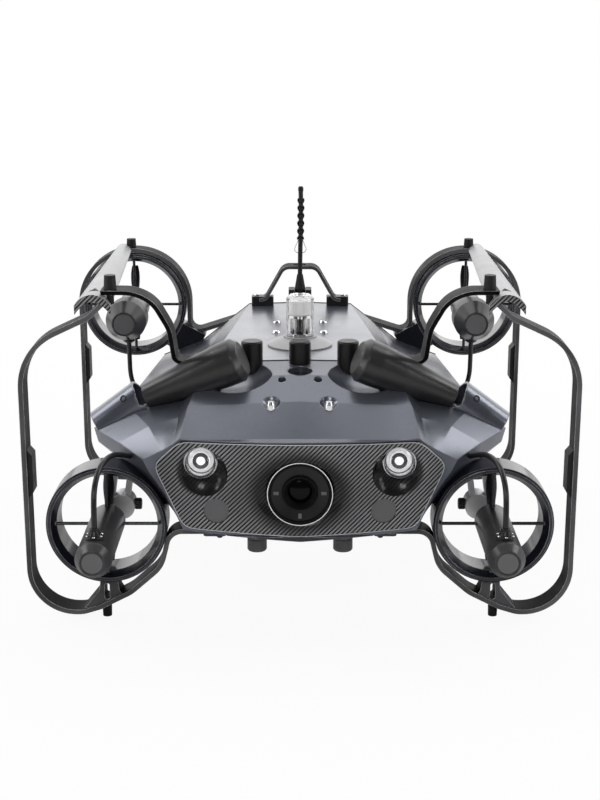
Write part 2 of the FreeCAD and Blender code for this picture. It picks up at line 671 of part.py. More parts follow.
GLAND_Y = -304.0
GLAND_TOP = FRONT_RING_Z + CAN_R + 9.0
FRONT_LEAD = [
    V(FRONT_RING_X, GLAND_Y, GLAND_TOP), V(FRONT_RING_X, GLAND_Y, GLAND_TOP + 18),
    V(FRONT_RING_X, -295.5, 169), V(190, -276, 183.5), V(183, -250, 186), V(175, -225, 179), V(170, -206, 171),
]
REAR_LEAD_X = 204.0
REAR_LEAD_Y = POD_NOSE_Y + 30.0
REAR_GLAND_Z = REAR_RING_Z - POD_R - 4.0
REAR_LEAD = [
    V(REAR_LEAD_X, REAR_LEAD_Y, REAR_GLAND_Z), V(REAR_LEAD_X, REAR_LEAD_Y, 196),
    V(203.5, REAR_LEAD_Y, 178), V(199, REAR_LEAD_Y - 1, 163), V(188, REAR_LEAD_Y - 2, 153),
    V(172, REAR_LEAD_Y - 3, 149), V(158, REAR_LEAD_Y - 3, 148),
]
TETHER = [
    V(0, TETHER_Y, BOOT_TOP), V(0.2, TETHER_Y, 324), V(0.9, TETHER_Y + 0.3, 350),
    V(1.2, TETHER_Y + 0.2, 376), V(0.9, TETHER_Y, TETHER_TOP - 2),
]


def front_gland():
    """Flanged gland on the motor can for its lead."""
    base = V(FRONT_RING_X, GLAND_Y, FRONT_RING_Z + CAN_R - 2)
    flange = turned([(0, 0), (9, 0), (9, 4), (6.5, 4), (6.5, 5), (4.5, 9), (4.5, 11), (0, 11)], base, Z_AXIS)
    return flange


def rear_gland():
    base = V(REAR_LEAD_X, REAR_LEAD_Y, REAR_RING_Z - POD_R + 2)
    return turned([(0, 0), (7, 0), (7, 4), (4.5, 6), (0, 6)], base, Z_AXIS * -1)


# ---------------------------------------------------------------- deck fittings
def make_handle():
    """Bent carry handle with an oval hole in its crown, on two clamps."""
    half = HANDLE_WIDTH / 2
    path = [(-50, DECK_Z + 6, 0), (-42, DECK_Z + 8, 8), (-20, 295, 12), (20, 295, 12), (42, DECK_Z + 8, 8),
            (50, DECK_Z + 6, 0)]
    handle = strap(path, HANDLE_STRAP, HANDLE_Y - half, HANDLE_Y + half)
    corners = ((-9, HANDLE_Y - 6, 5.9), (9, HANDLE_Y - 6, 5.9), (9, HANDLE_Y + 6, 5.9), (-9, HANDLE_Y + 6, 5.9))
    return handle.cut(slab(corners, 285, 305))


def handle_clamp(shells, handle):
    corners = ((33, HANDLE_Y - 9, 3), (60, HANDLE_Y - 9, 3), (60, HANDLE_Y + 7, 3), (33, HANDLE_Y + 7, 3))
    clamp = slab(corners, DECK_Z - 6, DECK_Z + 10)
    return seat(clamp, *shells, handle)


def make_beacon(shells):
    base = V(0, BEACON_Y, DECK_Z)
    flange = turned([(0, -6), (BEACON_FLANGE_R, -6), (BEACON_FLANGE_R, 1), (BEACON_FLANGE_R - 8, 5),
                     (BEACON_TUBE_R + 3, 8), (BEACON_TUBE_R + 3, 10), (0, 10)], base, Z_AXIS)
    nodes["beacon_flange"] = seat(flange, *shells)
    inner = BEACON_TUBE_R - BEACON_WALL
    top = BEACON_TOP - DECK_Z
    tube = turned([(inner, 10), (BEACON_TUBE_R, 10), (BEACON_TUBE_R, top - 4), (BEACON_TUBE_R - 4, top), (0, top),
                   (0, top - BEACON_WALL), (inner, top - 5)], base, Z_AXIS)
    nodes["beacon_tube"] = tube
    core = turned([(0, 10), (9, 10), (9, 16), (4, 18), (4, 34), (8, 35), (8, 38), (0, 38)], base, Z_AXIS)
    nodes["beacon_core"] = core


def make_tether_fittings(shells):
    base = V(0, TETHER_Y, DECK_Z)
    corners = ((-13.5, TETHER_Y - 10, 3), (13.5, TETHER_Y - 10, 3), (13.5, TETHER_Y + 10, 3),
               (-13.5, TETHER_Y + 10, 3))
    block = slab(corners, DECK_Z - 6, DECK_Z + 34)
    gap = Part.makeBox(13, 40, 12, V(-6.5, TETHER_Y - 20, DECK_Z + 28))
    block = block.cut(gap)
    nodes["tether_block"] = seat(block, *shells)
    boot = turned([(0, 28), (6.4, 28), (6.4, 34), (3.4, BOOT_TOP - DECK_Z), (0, BOOT_TOP - DECK_Z)], base, Z_AXIS)
    nodes["tether_boot"] = boot
    nodes["tether"] = cord_tube("tether", TETHER, TETHER_D)
    end = TETHER[-1]
    nodes["tether_cap"] = turned([(0, 0), (3.1, 0), (3.1, 4), (2, 5.5), (0, 5.5)], end + V(0, 0, 0.3), Z_AXIS)


PORT_R = 12.5
PORT_Y = -144.5
PORT_Z = 236.0
RECESS_X = 29.0
RECESS_Y = -195.5


def deck_holes(front_upper):
    """Round port, two small holes, two bolt recesses and the dishes under the pods."""
    front_upper = front_upper.cut(rod(PORT_R, V(0, PORT_Y, PORT_Z), V(0, PORT_Y, 260)))
    for side in (-1, 1):
        front_upper = front_upper.cut(rod(4.2, V(side * 18.4, -161, 230), V(side * 18.4, -161, 260)))
        front_upper = front_upper.cut(Part.makeSphere(12, V(side * RECESS_X, RECESS_Y, 229.5)))
        dish = Part.makeSphere(60, V(side * 68, -160, 286))
        front_upper = front_upper.cut(dish)
        saddle = make_pod_saddle()
        front_upper = front_upper.cut(saddle if side > 0 else mirrored(saddle))
    return main_solid(front_upper)


def bolt(x, y, z, radius, height):
    return turned([(0, -6), (radius, -6), (radius, height * 0.5), (radius * 0.75, height), (0, height)],
                  V(x, y, z), Z_AXIS)


def make_belly_fittings(belly):
    stubs = []
    for x in (-44, 44):
        stub = turned([(0, 0), (9, 0), (10, 1.5), (10, 30), (0, 30)], V(x, -190, 78), Z_AXIS)
        stubs.append(seat(stub, belly))
    nodes["belly_sensors"] = group(*stubs)
    screws = []
    for x in (-28, 0, 28):
        screw = turned([(0, 0), (2, 0), (2.8, 1), (2.8, 12), (0, 12)], V(x, -205, 88), Z_AXIS)
        screws.append(seat(screw, belly))
    return screws


# ---------------------------------------------------------------- assembly
front_upper, rear_upper, stern, belly, bezel = make_shells()
front_upper = deck_holes(front_upper)
front_upper = front_upper.cut(rod(LENS_RING_R, V(0, NOSE_Y, LENS_Z), V(0, BEZEL_FRONT_Y + CAMERA_DEPTH, LENS_Z)))
shells = (front_upper, rear_upper, stern, belly)
nodes["front_shell"] = front_upper
nodes["rear_shell"] = rear_upper
nodes["stern_cover"] = stern
nodes["belly_pan"] = belly
nodes["bezel"] = bezel
make_camera()
make_lights()

paired("deck_pods", make_deck_pod())
paired("cowls", make_cowl(shells))

front_side = front_frame()
rear_side = rear_frame()
arm = s_arm()
rail = top_rail()
front_knob = bumper(BUMPER_X, -FRAME_Y, BUMPER_Z, BUMPER_Z - BUMPER_HEIGHT)
rear_x = REAR_RING_X + 4
rear_knob = bumper(rear_x, FRAME_Y, REAR_TOP - 3.5, REAR_TOP - STRAP - 0.3)
stem_hole = rod(STEM_R, V(BUMPER_X, -FRAME_Y, BUMPER_Z - 40), V(BUMPER_X, -FRAME_Y, BUMPER_Z + 5))
rear_hole = rod(STEM_R, V(rear_x, FRAME_Y, REAR_TOP - 14), V(rear_x, FRAME_Y, REAR_TOP + 16))
rear_side = seat(rear_side.cut(rear_hole), *shells)
front_side = seat(front_side.cut(stem_hole), *shells)
rail = rail.cut(front_side).cut(rear_side).cut(stem_hole).cut(rear_hole)
rail = main_solid(rail)
arm = seat(arm, rail, front_side, *shells, make_pod_saddle()).cut(stem_hole)
front_knob = seat(front_knob, arm)
rear_knob = seat(rear_knob, rail, rear_side)
both_sides("front_frame", main_solid(front_side))
both_sides("rear_frame", main_solid(rear_side))
paired("top_rails", rail)
paired("s_arms", main_solid(arm))
nodes["bumpers"] = group(front_knob, rear_knob, mirrored(front_knob), mirrored(rear_knob))
front_foot = foot(-FRAME_Y, front_side)
rear_foot = foot(FRAME_Y, rear_side)
nodes["feet"] = group(front_foot, rear_foot, mirrored(front_foot), mirrored(rear_foot))
front_pad = side_pad(-FRAME_Y, 155.0)
rear_pad = side_pad(FRAME_Y, 169.0)
nodes["side_pads"] = group(front_pad, rear_pad, mirrored(front_pad), mirrored(rear_pad))

can = front_motor()
pod = rear_motor()
can_blank = rod(CAN_R, V(FRONT_RING_X, CAN_NOSE_Y, FRONT_RING_Z), V(FRONT_RING_X, CAN_TAIL_Y, FRONT_RING_Z))
front_duct = duct(FRONT_RING_X, -FRAME_Y, FRONT_RING_Z, RING_OUTER, can_blank)
rear_duct = duct(REAR_RING_X, FRAME_Y, REAR_RING_Z, REAR_RING_OUTER, pod)
front_duct = seat(front_duct, *shells)
both_sides("front_duct", front_duct)
both_sides("rear_duct", rear_duct)
paired("front_motors", can)
paired("rear_motors", pod)
both_sides("front_propeller", propeller(FRONT_RING_X, FRONT_PROP_Y, FRONT_RING_Z, 1))
both_sides("rear_propeller", propeller(REAR_RING_X, REAR_PROP_Y, REAR_RING_Z, 1))
both_sides("front_shaft", front_shaft())
both_sides("rear_shaft", rear_shaft())
bracket = tail_bracket(shells)
paired("tail_brackets", bracket)
paired("thumb_screws", seat(thumb_screw(), bracket))
paired("yokes", make_yoke(front_duct, front_side))
paired("ring_arms", ring_arm(rear_duct, rear_side, shells))

gland = seat(front_gland(), can)
tail_gland = seat(rear_gland(), pod)
nodes["glands"] = group(gland, tail_gland, mirrored(gland), mirrored(tail_gland))
both_sides("front_lead", seat(cord_tube("front_lead", FRONT_LEAD, LEAD_D), *shells))
both_sides("rear_lead", seat(cord_tube("rear_lead", REAR_LEAD, LEAD_D), *shells))

posts = []
for x in (-POST_X, 0, POST_X):
    post = turned([(0, -14), (POST_R, -14), (POST_R, POST_HEIGHT - 1.5), (POST_R - 1.5, POST_HEIGHT),
                   (0, POST_HEIGHT)], V(x, POST_Y, DECK_Z - 4), Z_AXIS)
    posts.append(seat(post, *shells))
nodes["deck_posts"] = group(*posts)
nodes["deck_port"] = rod(PORT_R, V(0, PORT_Y, PORT_Z), V(0, PORT_Y, PORT_Z + 3))
bolts = [seat(bolt(x, RECESS_Y - 1, 218, 4.4, 7), front_upper) for x in (-RECESS_X, RECESS_X)]
bolts += [seat(bolt(x, y, DECK_Z - 1.5, 4.5, 3.5), rear_upper) for x in (-27, 27) for y in (20, 75)]
make_beacon(shells)
handle = make_handle()
nodes["carry_handle"] = handle
paired("handle_clamps", handle_clamp(shells, handle))
make_tether_fittings(shells)
bolts += make_belly_fittings(belly)
nodes["shell_screws"] = group(*bolts)

os.makedirs("parts", exist_ok=True)
for name, shape in nodes.items():
    placed = shape.copy()
    placed.translate(V(0, -ORIGIN_Y, 0))
    if not placed.isValid() or placed.Volume <= 0:
        print("NOT VALID", name)
    placed.exportStep(os.path.join("parts", name + ".step"))
print(len(nodes), "nodes,", sum(len(shape.Solids) for shape in nodes.values()), "solids")
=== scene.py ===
"""Looks of an underwater inspection vehicle, dressed around its packed construction.

Each sub-assembly is a class that builds its own pieces and dresses the construction pieces it
owns. The vehicle's frame is in metres, with +Z up and the camera bezel facing -Y. Sizes below are
in millimetres, with Y counted from the frames' mid plane, unless a line says otherwise.
"""

import logging
import math
from abc import ABC, abstractmethod
from dataclasses import dataclass
from enum import Enum

import bmesh
import bpy
from mathutils import Matrix, Vector


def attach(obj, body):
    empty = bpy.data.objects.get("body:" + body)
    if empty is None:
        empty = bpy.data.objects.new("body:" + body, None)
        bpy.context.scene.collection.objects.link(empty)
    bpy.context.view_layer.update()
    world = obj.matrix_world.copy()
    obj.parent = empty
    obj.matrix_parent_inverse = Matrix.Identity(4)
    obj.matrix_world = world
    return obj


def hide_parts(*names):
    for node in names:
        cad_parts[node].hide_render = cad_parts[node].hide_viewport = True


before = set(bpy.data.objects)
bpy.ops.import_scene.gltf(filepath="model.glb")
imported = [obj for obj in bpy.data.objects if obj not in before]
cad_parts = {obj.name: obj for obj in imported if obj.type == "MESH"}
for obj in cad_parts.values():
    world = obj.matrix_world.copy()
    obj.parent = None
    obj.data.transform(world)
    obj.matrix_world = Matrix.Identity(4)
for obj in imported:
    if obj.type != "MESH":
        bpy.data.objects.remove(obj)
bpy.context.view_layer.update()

logging.basicConfig(level=logging.INFO, format="%(name)s: %(message)s")
LOG = logging.getLogger("vehicle")

MM = 0.001
DATUM_Y = 0.0515             # the frames' mid plane, in metres along the vehicle's Y
HULL = "hull"                # the body that every piece added here rides on
UP = Vector((0, 0, 1))
AFT = Vector((0, 1, 0))
SMOOTH_BELOW = 35.0          # degrees; edges flatter than this are shaded smooth
RELIEF_DEPTH = 0.0002        # metres that the grain of a surface stands up
CURVE_ORDER = 3              # smoothness of a wire's curve

Point = tuple[float, float, float]
Place = tuple[float, float]
Profile = list[Place]


def at(x: float, y: float, z: float) -> Vector:
    """Place given in millimetres from the frames' mid plane, as a point in metres."""
    return Vector((x * MM, y * MM + DATUM_Y, z * MM))


def between(first: Place, second: Place, share: float) -> Place:
    """Place at a share of the way from one to another."""
    return (first[0] + (second[0] - first[0]) * share, first[1] + (second[1] - first[1]) * share)


class Side(Enum):
    """The two mirrored sides of the vehicle."""

    LEFT = -1
    RIGHT = 1

    @property
    def word(self) -> str:
        """The side's name as the node names spell it."""
        return self.name.lower()

    def at(self, x: float, y: float, z: float) -> Vector:
        """Place on this side, its X counted outwards, as at() gives it."""
        return at(self.value * x, y, z)


# ------------------------------------------------------------------ finishes
class Graph:
    """A small helper that writes the node tree of one material or world."""

    def __init__(self, owner: bpy.types.ID, output: str) -> None:
        """Start with nothing but the output.

        Args:
            owner: the material or world.
            output: the type of its output node.
        """
        self.owner = owner
        owner.use_nodes = True
        self.tree = owner.node_tree
        self.tree.nodes.clear()
        self.out = self.tree.nodes.new(output)

    @classmethod
    def material(cls, name: str) -> "Graph":
        """Start an empty material of that name."""
        return cls(bpy.data.materials.new(name), "ShaderNodeOutputMaterial")

    def add(self, kind: str, inputs: dict[str | int, object] | None = None,
            **settings: object) -> bpy.types.Node:
        """Add a node, set its plain values and link what is given as a socket.

        Args:
            kind: the node's type.
            inputs: socket name or index to a value or an output socket.
            settings: attributes of the node.

        Returns:
            The new node.
        """
        node = self.tree.nodes.new(kind)
        for key, value in settings.items():
            setattr(node, key, value)
        for key, value in (inputs or {}).items():
            if isinstance(value, bpy.types.NodeSocket):
                self.tree.links.new(value, node.inputs[key])
            else:
                node.inputs[key].default_value = value
        return node

    def math(self, operation: str, *values: object) -> bpy.types.NodeSocket:
        """Add a Math node and return its result."""
        node = self.add("ShaderNodeMath", dict(enumerate(values)), operation=operation)
        return node.outputs[0]

    def dot(self, first: object, second: object) -> bpy.types.NodeSocket:
        """How far two directions agree, from -1 to 1."""
        node = self.add("ShaderNodeVectorMath", {0: first, 1: second}, operation="DOT_PRODUCT")
        return node.outputs["Value"]

    def blend(self, factor: object, first: object, second: object) -> bpy.types.NodeSocket:
        """Mix two colours by a factor and return the colour."""
        node = self.add("ShaderNodeMix", {0: factor, 6: first, 7: second}, data_type="RGBA")
        return node.outputs[2]

    def span(self, value: object, low: float, high: float, start: object, end: float,
             kind: str = "LINEAR") -> bpy.types.NodeSocket:
        """Map a value from one range to another and clamp it.

        Args:
            value: what is mapped.
            low: start of its range.
            high: end of its range.
            start: what low turns into.
            end: what high turns into.
            kind: the node's interpolation.

        Returns:
            The mapped value.
        """
        node = self.add("ShaderNodeMapRange", {0: value, 1: low, 2: high, 3: start, 4: end},
                        interpolation_type=kind)
        return node.outputs[0]

    def vary(self, noise: object, start: float, end: float) -> bpy.types.NodeSocket:
        """Spread noise, most of which lies from 0.3 to 0.7, over a range."""
        return self.span(noise, 0.3, 0.7, start, end)

    def place(self) -> bpy.types.NodeSocket:
        """Coordinates of the piece itself, in metres."""
        return self.add("ShaderNodeTexCoord").outputs["Object"]

    def noise(self, scale: float, detail: float = 3.0,
              place: object = None) -> bpy.types.NodeSocket:
        """Fractal noise at a scale per metre."""
        where = place if place is not None else self.place()
        node = self.add("ShaderNodeTexNoise", {"Vector": where, "Scale": scale, "Detail": detail})
        return node.outputs[0]

    def normal(self) -> bpy.types.NodeSocket:
        """Normal of the surface, before any rounding or grain."""
        return self.add("ShaderNodeNewGeometry").outputs["Normal"]

    def ahead(self) -> bpy.types.NodeSocket:
        """How squarely the surface faces the bow, from -1 to 1."""
        return self.dot(self.normal(), (0, -1, 0))

    def rounded(self, radius: float, samples: int) -> bpy.types.NodeSocket:
        """Normal of the surface with its edges rounded, the radius in metres."""
        return self.add("ShaderNodeBevel", {"Radius": radius}, samples=samples).outputs[0]

    def relief(self, strength: float, height: object, normal: object) -> bpy.types.NodeSocket:
        """Normal of the surface with grain on it."""
        node = self.add("ShaderNodeBump", {"Strength": strength, "Distance": RELIEF_DEPTH,
                                           "Height": height, "Normal": normal})
        return node.outputs[0]

    def seen(self) -> bpy.types.NodeSocket:
        """1 where the camera looks, straight or through something clear, and else 0."""
        rays = self.add("ShaderNodeLightPath").outputs
        return self.math("MAXIMUM", rays["Is Camera Ray"], rays["Is Transmission Ray"])

    def finish(self, shader: bpy.types.Node) -> bpy.types.ID:
        """Join the shader to the output and return the material or world."""
        self.tree.links.new(shader.outputs[0], self.out.inputs[0])
        return self.owner


def rgba(colour: Point) -> tuple[float, float, float, float]:
    """A colour with full opacity."""
    return (*colour, 1.0)


class Finish(ABC):
    """A finish that turns into one material."""

    name: str

    @abstractmethod
    def inputs(self, graph: Graph) -> dict[str, object]:
        """Inputs of the principled shader, by socket, with the nodes that they need."""

    def build(self) -> bpy.types.Material:
        """Write the node tree.

        Returns:
            The material.
        """
        graph = Graph.material(self.name)
        return graph.finish(graph.add("ShaderNodeBsdfPrincipled", self.inputs(graph)))


@dataclass(frozen=True)
class Coating(Finish):
    """A painted, moulded or anodised surface with grain, mottling, and edges that are rubbed and
    carry a painted highlight.

    colour and second are the tones of the mottling. The scales count per metre, and rounding is
    in metres. edge is the share of edge_colour on edges, as wear and painted highlight; the
    cut-face share is that on faces toward the bow, as bare cut metal with a painted highlight.
    """

    name: str
    colour: Point
    second: Point
    roughness: float = 0.4
    metallic: float = 0.0
    coat: float = 0.0
    coat_roughness: float = 0.1
    grain_scale: float = 2500.0
    grain: float = 0.05
    patch_scale: float = 18.0
    edge: float = 0.0
    edge_colour: Point = (0.5, 0.5, 0.52)
    rounding: float = 0.0008
    specular: float = 0.5
    cut_face_and_sheen: float = 0.0

    def inputs(self, graph: Graph) -> dict[str, object]:
        """Mottled colour, edges with wear and painted highlight, grain and uneven gloss."""
        place = graph.place()
        patch = graph.vary(graph.noise(self.patch_scale, 4.0, place), 0.0, 1.0)
        colour = graph.blend(patch, rgba(self.colour), rgba(self.second))
        soft = graph.rounded(self.rounding, 6)
        # Edges take edge_colour: partly wear, partly a painted highlight on rims and chamfers.
        if self.edge > 0:
            edge_wear_and_sheen = graph.span(graph.dot(soft, graph.normal()), 0.985, 0.9, 0.0, self.edge)
            rub = graph.span(graph.noise(60.0, 2.0, place), 0.35, 0.6, 0.4, 1.0)
            share = graph.math("MULTIPLY", edge_wear_and_sheen, rub)
            colour = graph.blend(share, colour, rgba(self.edge_colour))
        # Faces toward the bow take edge_colour in streaks: bare cut metal with a painted highlight.
        if self.cut_face_and_sheen > 0:
            cut = graph.span(graph.ahead(), 0.85, 0.97, 0.0, self.cut_face_and_sheen)
            streak = graph.span(graph.noise(11.0, 2.0, place), 0.35, 0.65, 0.45, 1.0)
            share = graph.math("MULTIPLY", cut, streak)
            colour = graph.blend(share, colour, rgba(self.edge_colour))
        fine = graph.noise(self.grain_scale, 2.0, place)
        wide = graph.noise(self.patch_scale * 3.0, 3.0, place)
        rough = graph.math("ADD", graph.vary(wide, self.roughness * 0.88, self.roughness * 1.1),
                           graph.vary(fine, -0.02, 0.02))
        return {
            "Base Color": colour, "Roughness": rough, "Metallic": self.metallic,
            "Specular IOR Level": self.specular, "Coat Weight": self.coat,
            "Coat Roughness": self.coat_roughness,
            "Normal": graph.relief(self.grain, fine, soft)}


@dataclass(frozen=True)
class PaintedShade:
    """An oval of painted shade on the cloth, darker towards its centre, in metres.

    x and z are its centre and wide its breadth for a height of 1. The cloth's lightness goes from
    dark to 1 as the way from the centre goes from low to high.
    """

    x: float
    z: float
    wide: float
    low: float
    high: float
    dark: float


@dataclass(frozen=True)
class CarbonTwill(Finish):
    """Clear-coated carbon cloth: two-by-two twill seen along Y, with tow, its step, in metres."""

    name: str = "carbon_twill"
    tow: float = 0.00115
    # dark is the cloth's own black; light is a painted sheen colour for the upright tows on top.
    dark: Point = (0.003, 0.003, 0.0035)
    light: Point = (0.36, 0.365, 0.37)
    metallic: float = 0.75
    coat: float = 0.25
    coat_roughness: float = 0.12
    relief: float = 0.25
    rounding: float = 0.0006
    # Painted shade: ovals darkened round the lamps and the camera port, and a wide one about the
    # port.
    lamp: PaintedShade = PaintedShade(0.0975, 0.1636, 1.0, 0.0215, 0.0255, 0.10)
    port: PaintedShade = PaintedShade(0.0, 0.144, 1.18, 0.036, 0.047, 0.16)
    scoop: PaintedShade = PaintedShade(0.0, 0.144, 2.4, 0.024, 0.052, 0.62)

    def weave(self, graph: Graph, across: object,
              up: object) -> tuple[bpy.types.NodeSocket, bpy.types.NodeSocket]:
        """Lay the tows over and under each other.

        Args:
            graph: the material's graph.
            across: tows counted along X.
            up: tows counted along Z.

        Returns:
            1 where the tow on top runs upright, and the height of the tow on top.
        """
        step = graph.math("SUBTRACT", graph.math("FLOOR", across), graph.math("FLOOR", up))
        phase = graph.math("FLOORED_MODULO", graph.math("ADD", step, 0.001), 4.0)
        over = graph.math("LESS_THAN", phase, 2.0)
        crowns = []
        for count in (across, up):
            wave = graph.math("SINE", graph.math("MULTIPLY", count, math.pi))
            crowns.append(graph.math("ABSOLUTE", wave))
        crown = graph.add("ShaderNodeMix", {0: over, 2: crowns[0], 3: crowns[1]}).outputs[0]
        return over, crown

    def lightness(self, graph: Graph, axes: bpy.types.Node) -> bpy.types.NodeSocket:
        """Lightness of the cloth, from patches, painted shade by its tilt and painted shade ovals.

        Args:
            graph: the material's graph.
            axes: node that gives X and Z.

        Returns:
            A share of the light colour.
        """
        patch = graph.vary(graph.noise(14.0, 2.0), 0.75, 1.0)
        # Painted shade: cloth tilted away from the bow, as inside the bowls, is darkened.
        patch = graph.math("MULTIPLY", patch, graph.span(graph.ahead(), 0.80, 0.962, 0.06, 1.0))
        for shade in (self.lamp, self.port, self.scoop):
            out = graph.math("SUBTRACT", graph.math("ABSOLUTE", axes.outputs["X"]), shade.x)
            wide = graph.math("DIVIDE", out, shade.wide)
            tall = graph.math("SUBTRACT", axes.outputs["Z"], shade.z)
            squares = graph.math("ADD", graph.math("MULTIPLY", wide, wide),
                                 graph.math("MULTIPLY", tall, tall))
            near = graph.span(graph.math("SQRT", squares), shade.low, shade.high, shade.dark, 1.0)
            patch = graph.math("MULTIPLY", patch, near)
        return patch

    def inputs(self, graph: Graph) -> dict[str, object]:
        """Woven tows under a thin clear coat, with painted sheen and painted shade in the colour.
        """
        axes = graph.add("ShaderNodeSeparateXYZ", {0: graph.place()})
        across = graph.math("DIVIDE", axes.outputs["X"], self.tow)
        up = graph.math("DIVIDE", axes.outputs["Z"], self.tow)
        over, crown = self.weave(graph, across, up)
        # Painted sheen: upright tows on top are lightened, most of all along their crowns.
        sheen = graph.math("MULTIPLY", over, graph.span(crown, 0.0, 0.8, 0.45, 1.0))
        share = graph.math("MULTIPLY", sheen, self.lightness(graph, axes))
        soft = graph.rounded(self.rounding, 4)
        return {
            "Base Color": graph.blend(share, rgba(self.dark), rgba(self.light)),
            "Roughness": graph.span(over, 0.0, 1.0, 0.5, 0.34), "Metallic": self.metallic,
            "Coat Weight": self.coat, "Coat Roughness": self.coat_roughness,
            "Normal": graph.relief(self.relief, crown, soft)}


@dataclass(frozen=True)
class Clear(Finish):
    """Clear polycarbonate with faint smears."""

    name: str
    colour: Point = (1.0, 1.0, 1.0)
    roughness: float = 0.02
    smears: float = 0.04
    refraction: float = 1.47

    def inputs(self, graph: Graph) -> dict[str, object]:
        """Clear all through, with an unevenly wiped skin."""
        smear = graph.vary(graph.noise(45.0, 3.0), self.roughness, self.roughness + self.smears)
        return {
            "Base Color": rgba(self.colour), "Roughness": smear, "Transmission Weight": 1.0,
            "IOR": self.refraction}


@dataclass(frozen=True)
class Bright(Finish):
    """Polished or turned metal with fine brushing round Y, its scale per metre."""

    name: str
    colour: Point = (0.82, 0.82, 0.83)
    roughness: float = 0.16
    brush_scale: float = 1800.0

    def inputs(self, graph: Graph) -> dict[str, object]:
        """Bare metal with brushed gloss and duller patches."""
        stretch = graph.add("ShaderNodeMapping", {0: graph.place(), "Scale": (1.0, 0.05, 1.0)})
        brush = graph.noise(self.brush_scale, 2.0, stretch.outputs[0])
        duller = tuple(value * 0.8 for value in self.colour)
        return {
            "Base Color": graph.blend(graph.vary(graph.noise(90.0), 0.0, 0.35),
                                      rgba(self.colour), rgba(duller)),
            "Roughness": graph.vary(brush, self.roughness * 0.7, self.roughness * 1.4),
            "Metallic": 1.0}


@dataclass(frozen=True)
class Lamp(Finish):
    """A pale phosphor chip that looks lit without lighting the scene much."""

    name: str = "lamp_chip"
    colour: Point = (0.86, 0.87, 0.88)
    second: Point = (1.0, 1.0, 1.0)
    roughness: float = 0.5
    strength: float = 0.35

    def inputs(self, graph: Graph) -> dict[str, object]:
        """Speckled phosphor with a little glow."""
        patch = graph.span(graph.noise(400.0), 0.4, 0.6, 0.0, 1.0)
        return {
            "Base Color": graph.blend(patch, rgba(self.colour), rgba(self.second)),
            "Roughness": self.roughness, "Emission Color": rgba(self.second),
            "Emission Strength": self.strength}


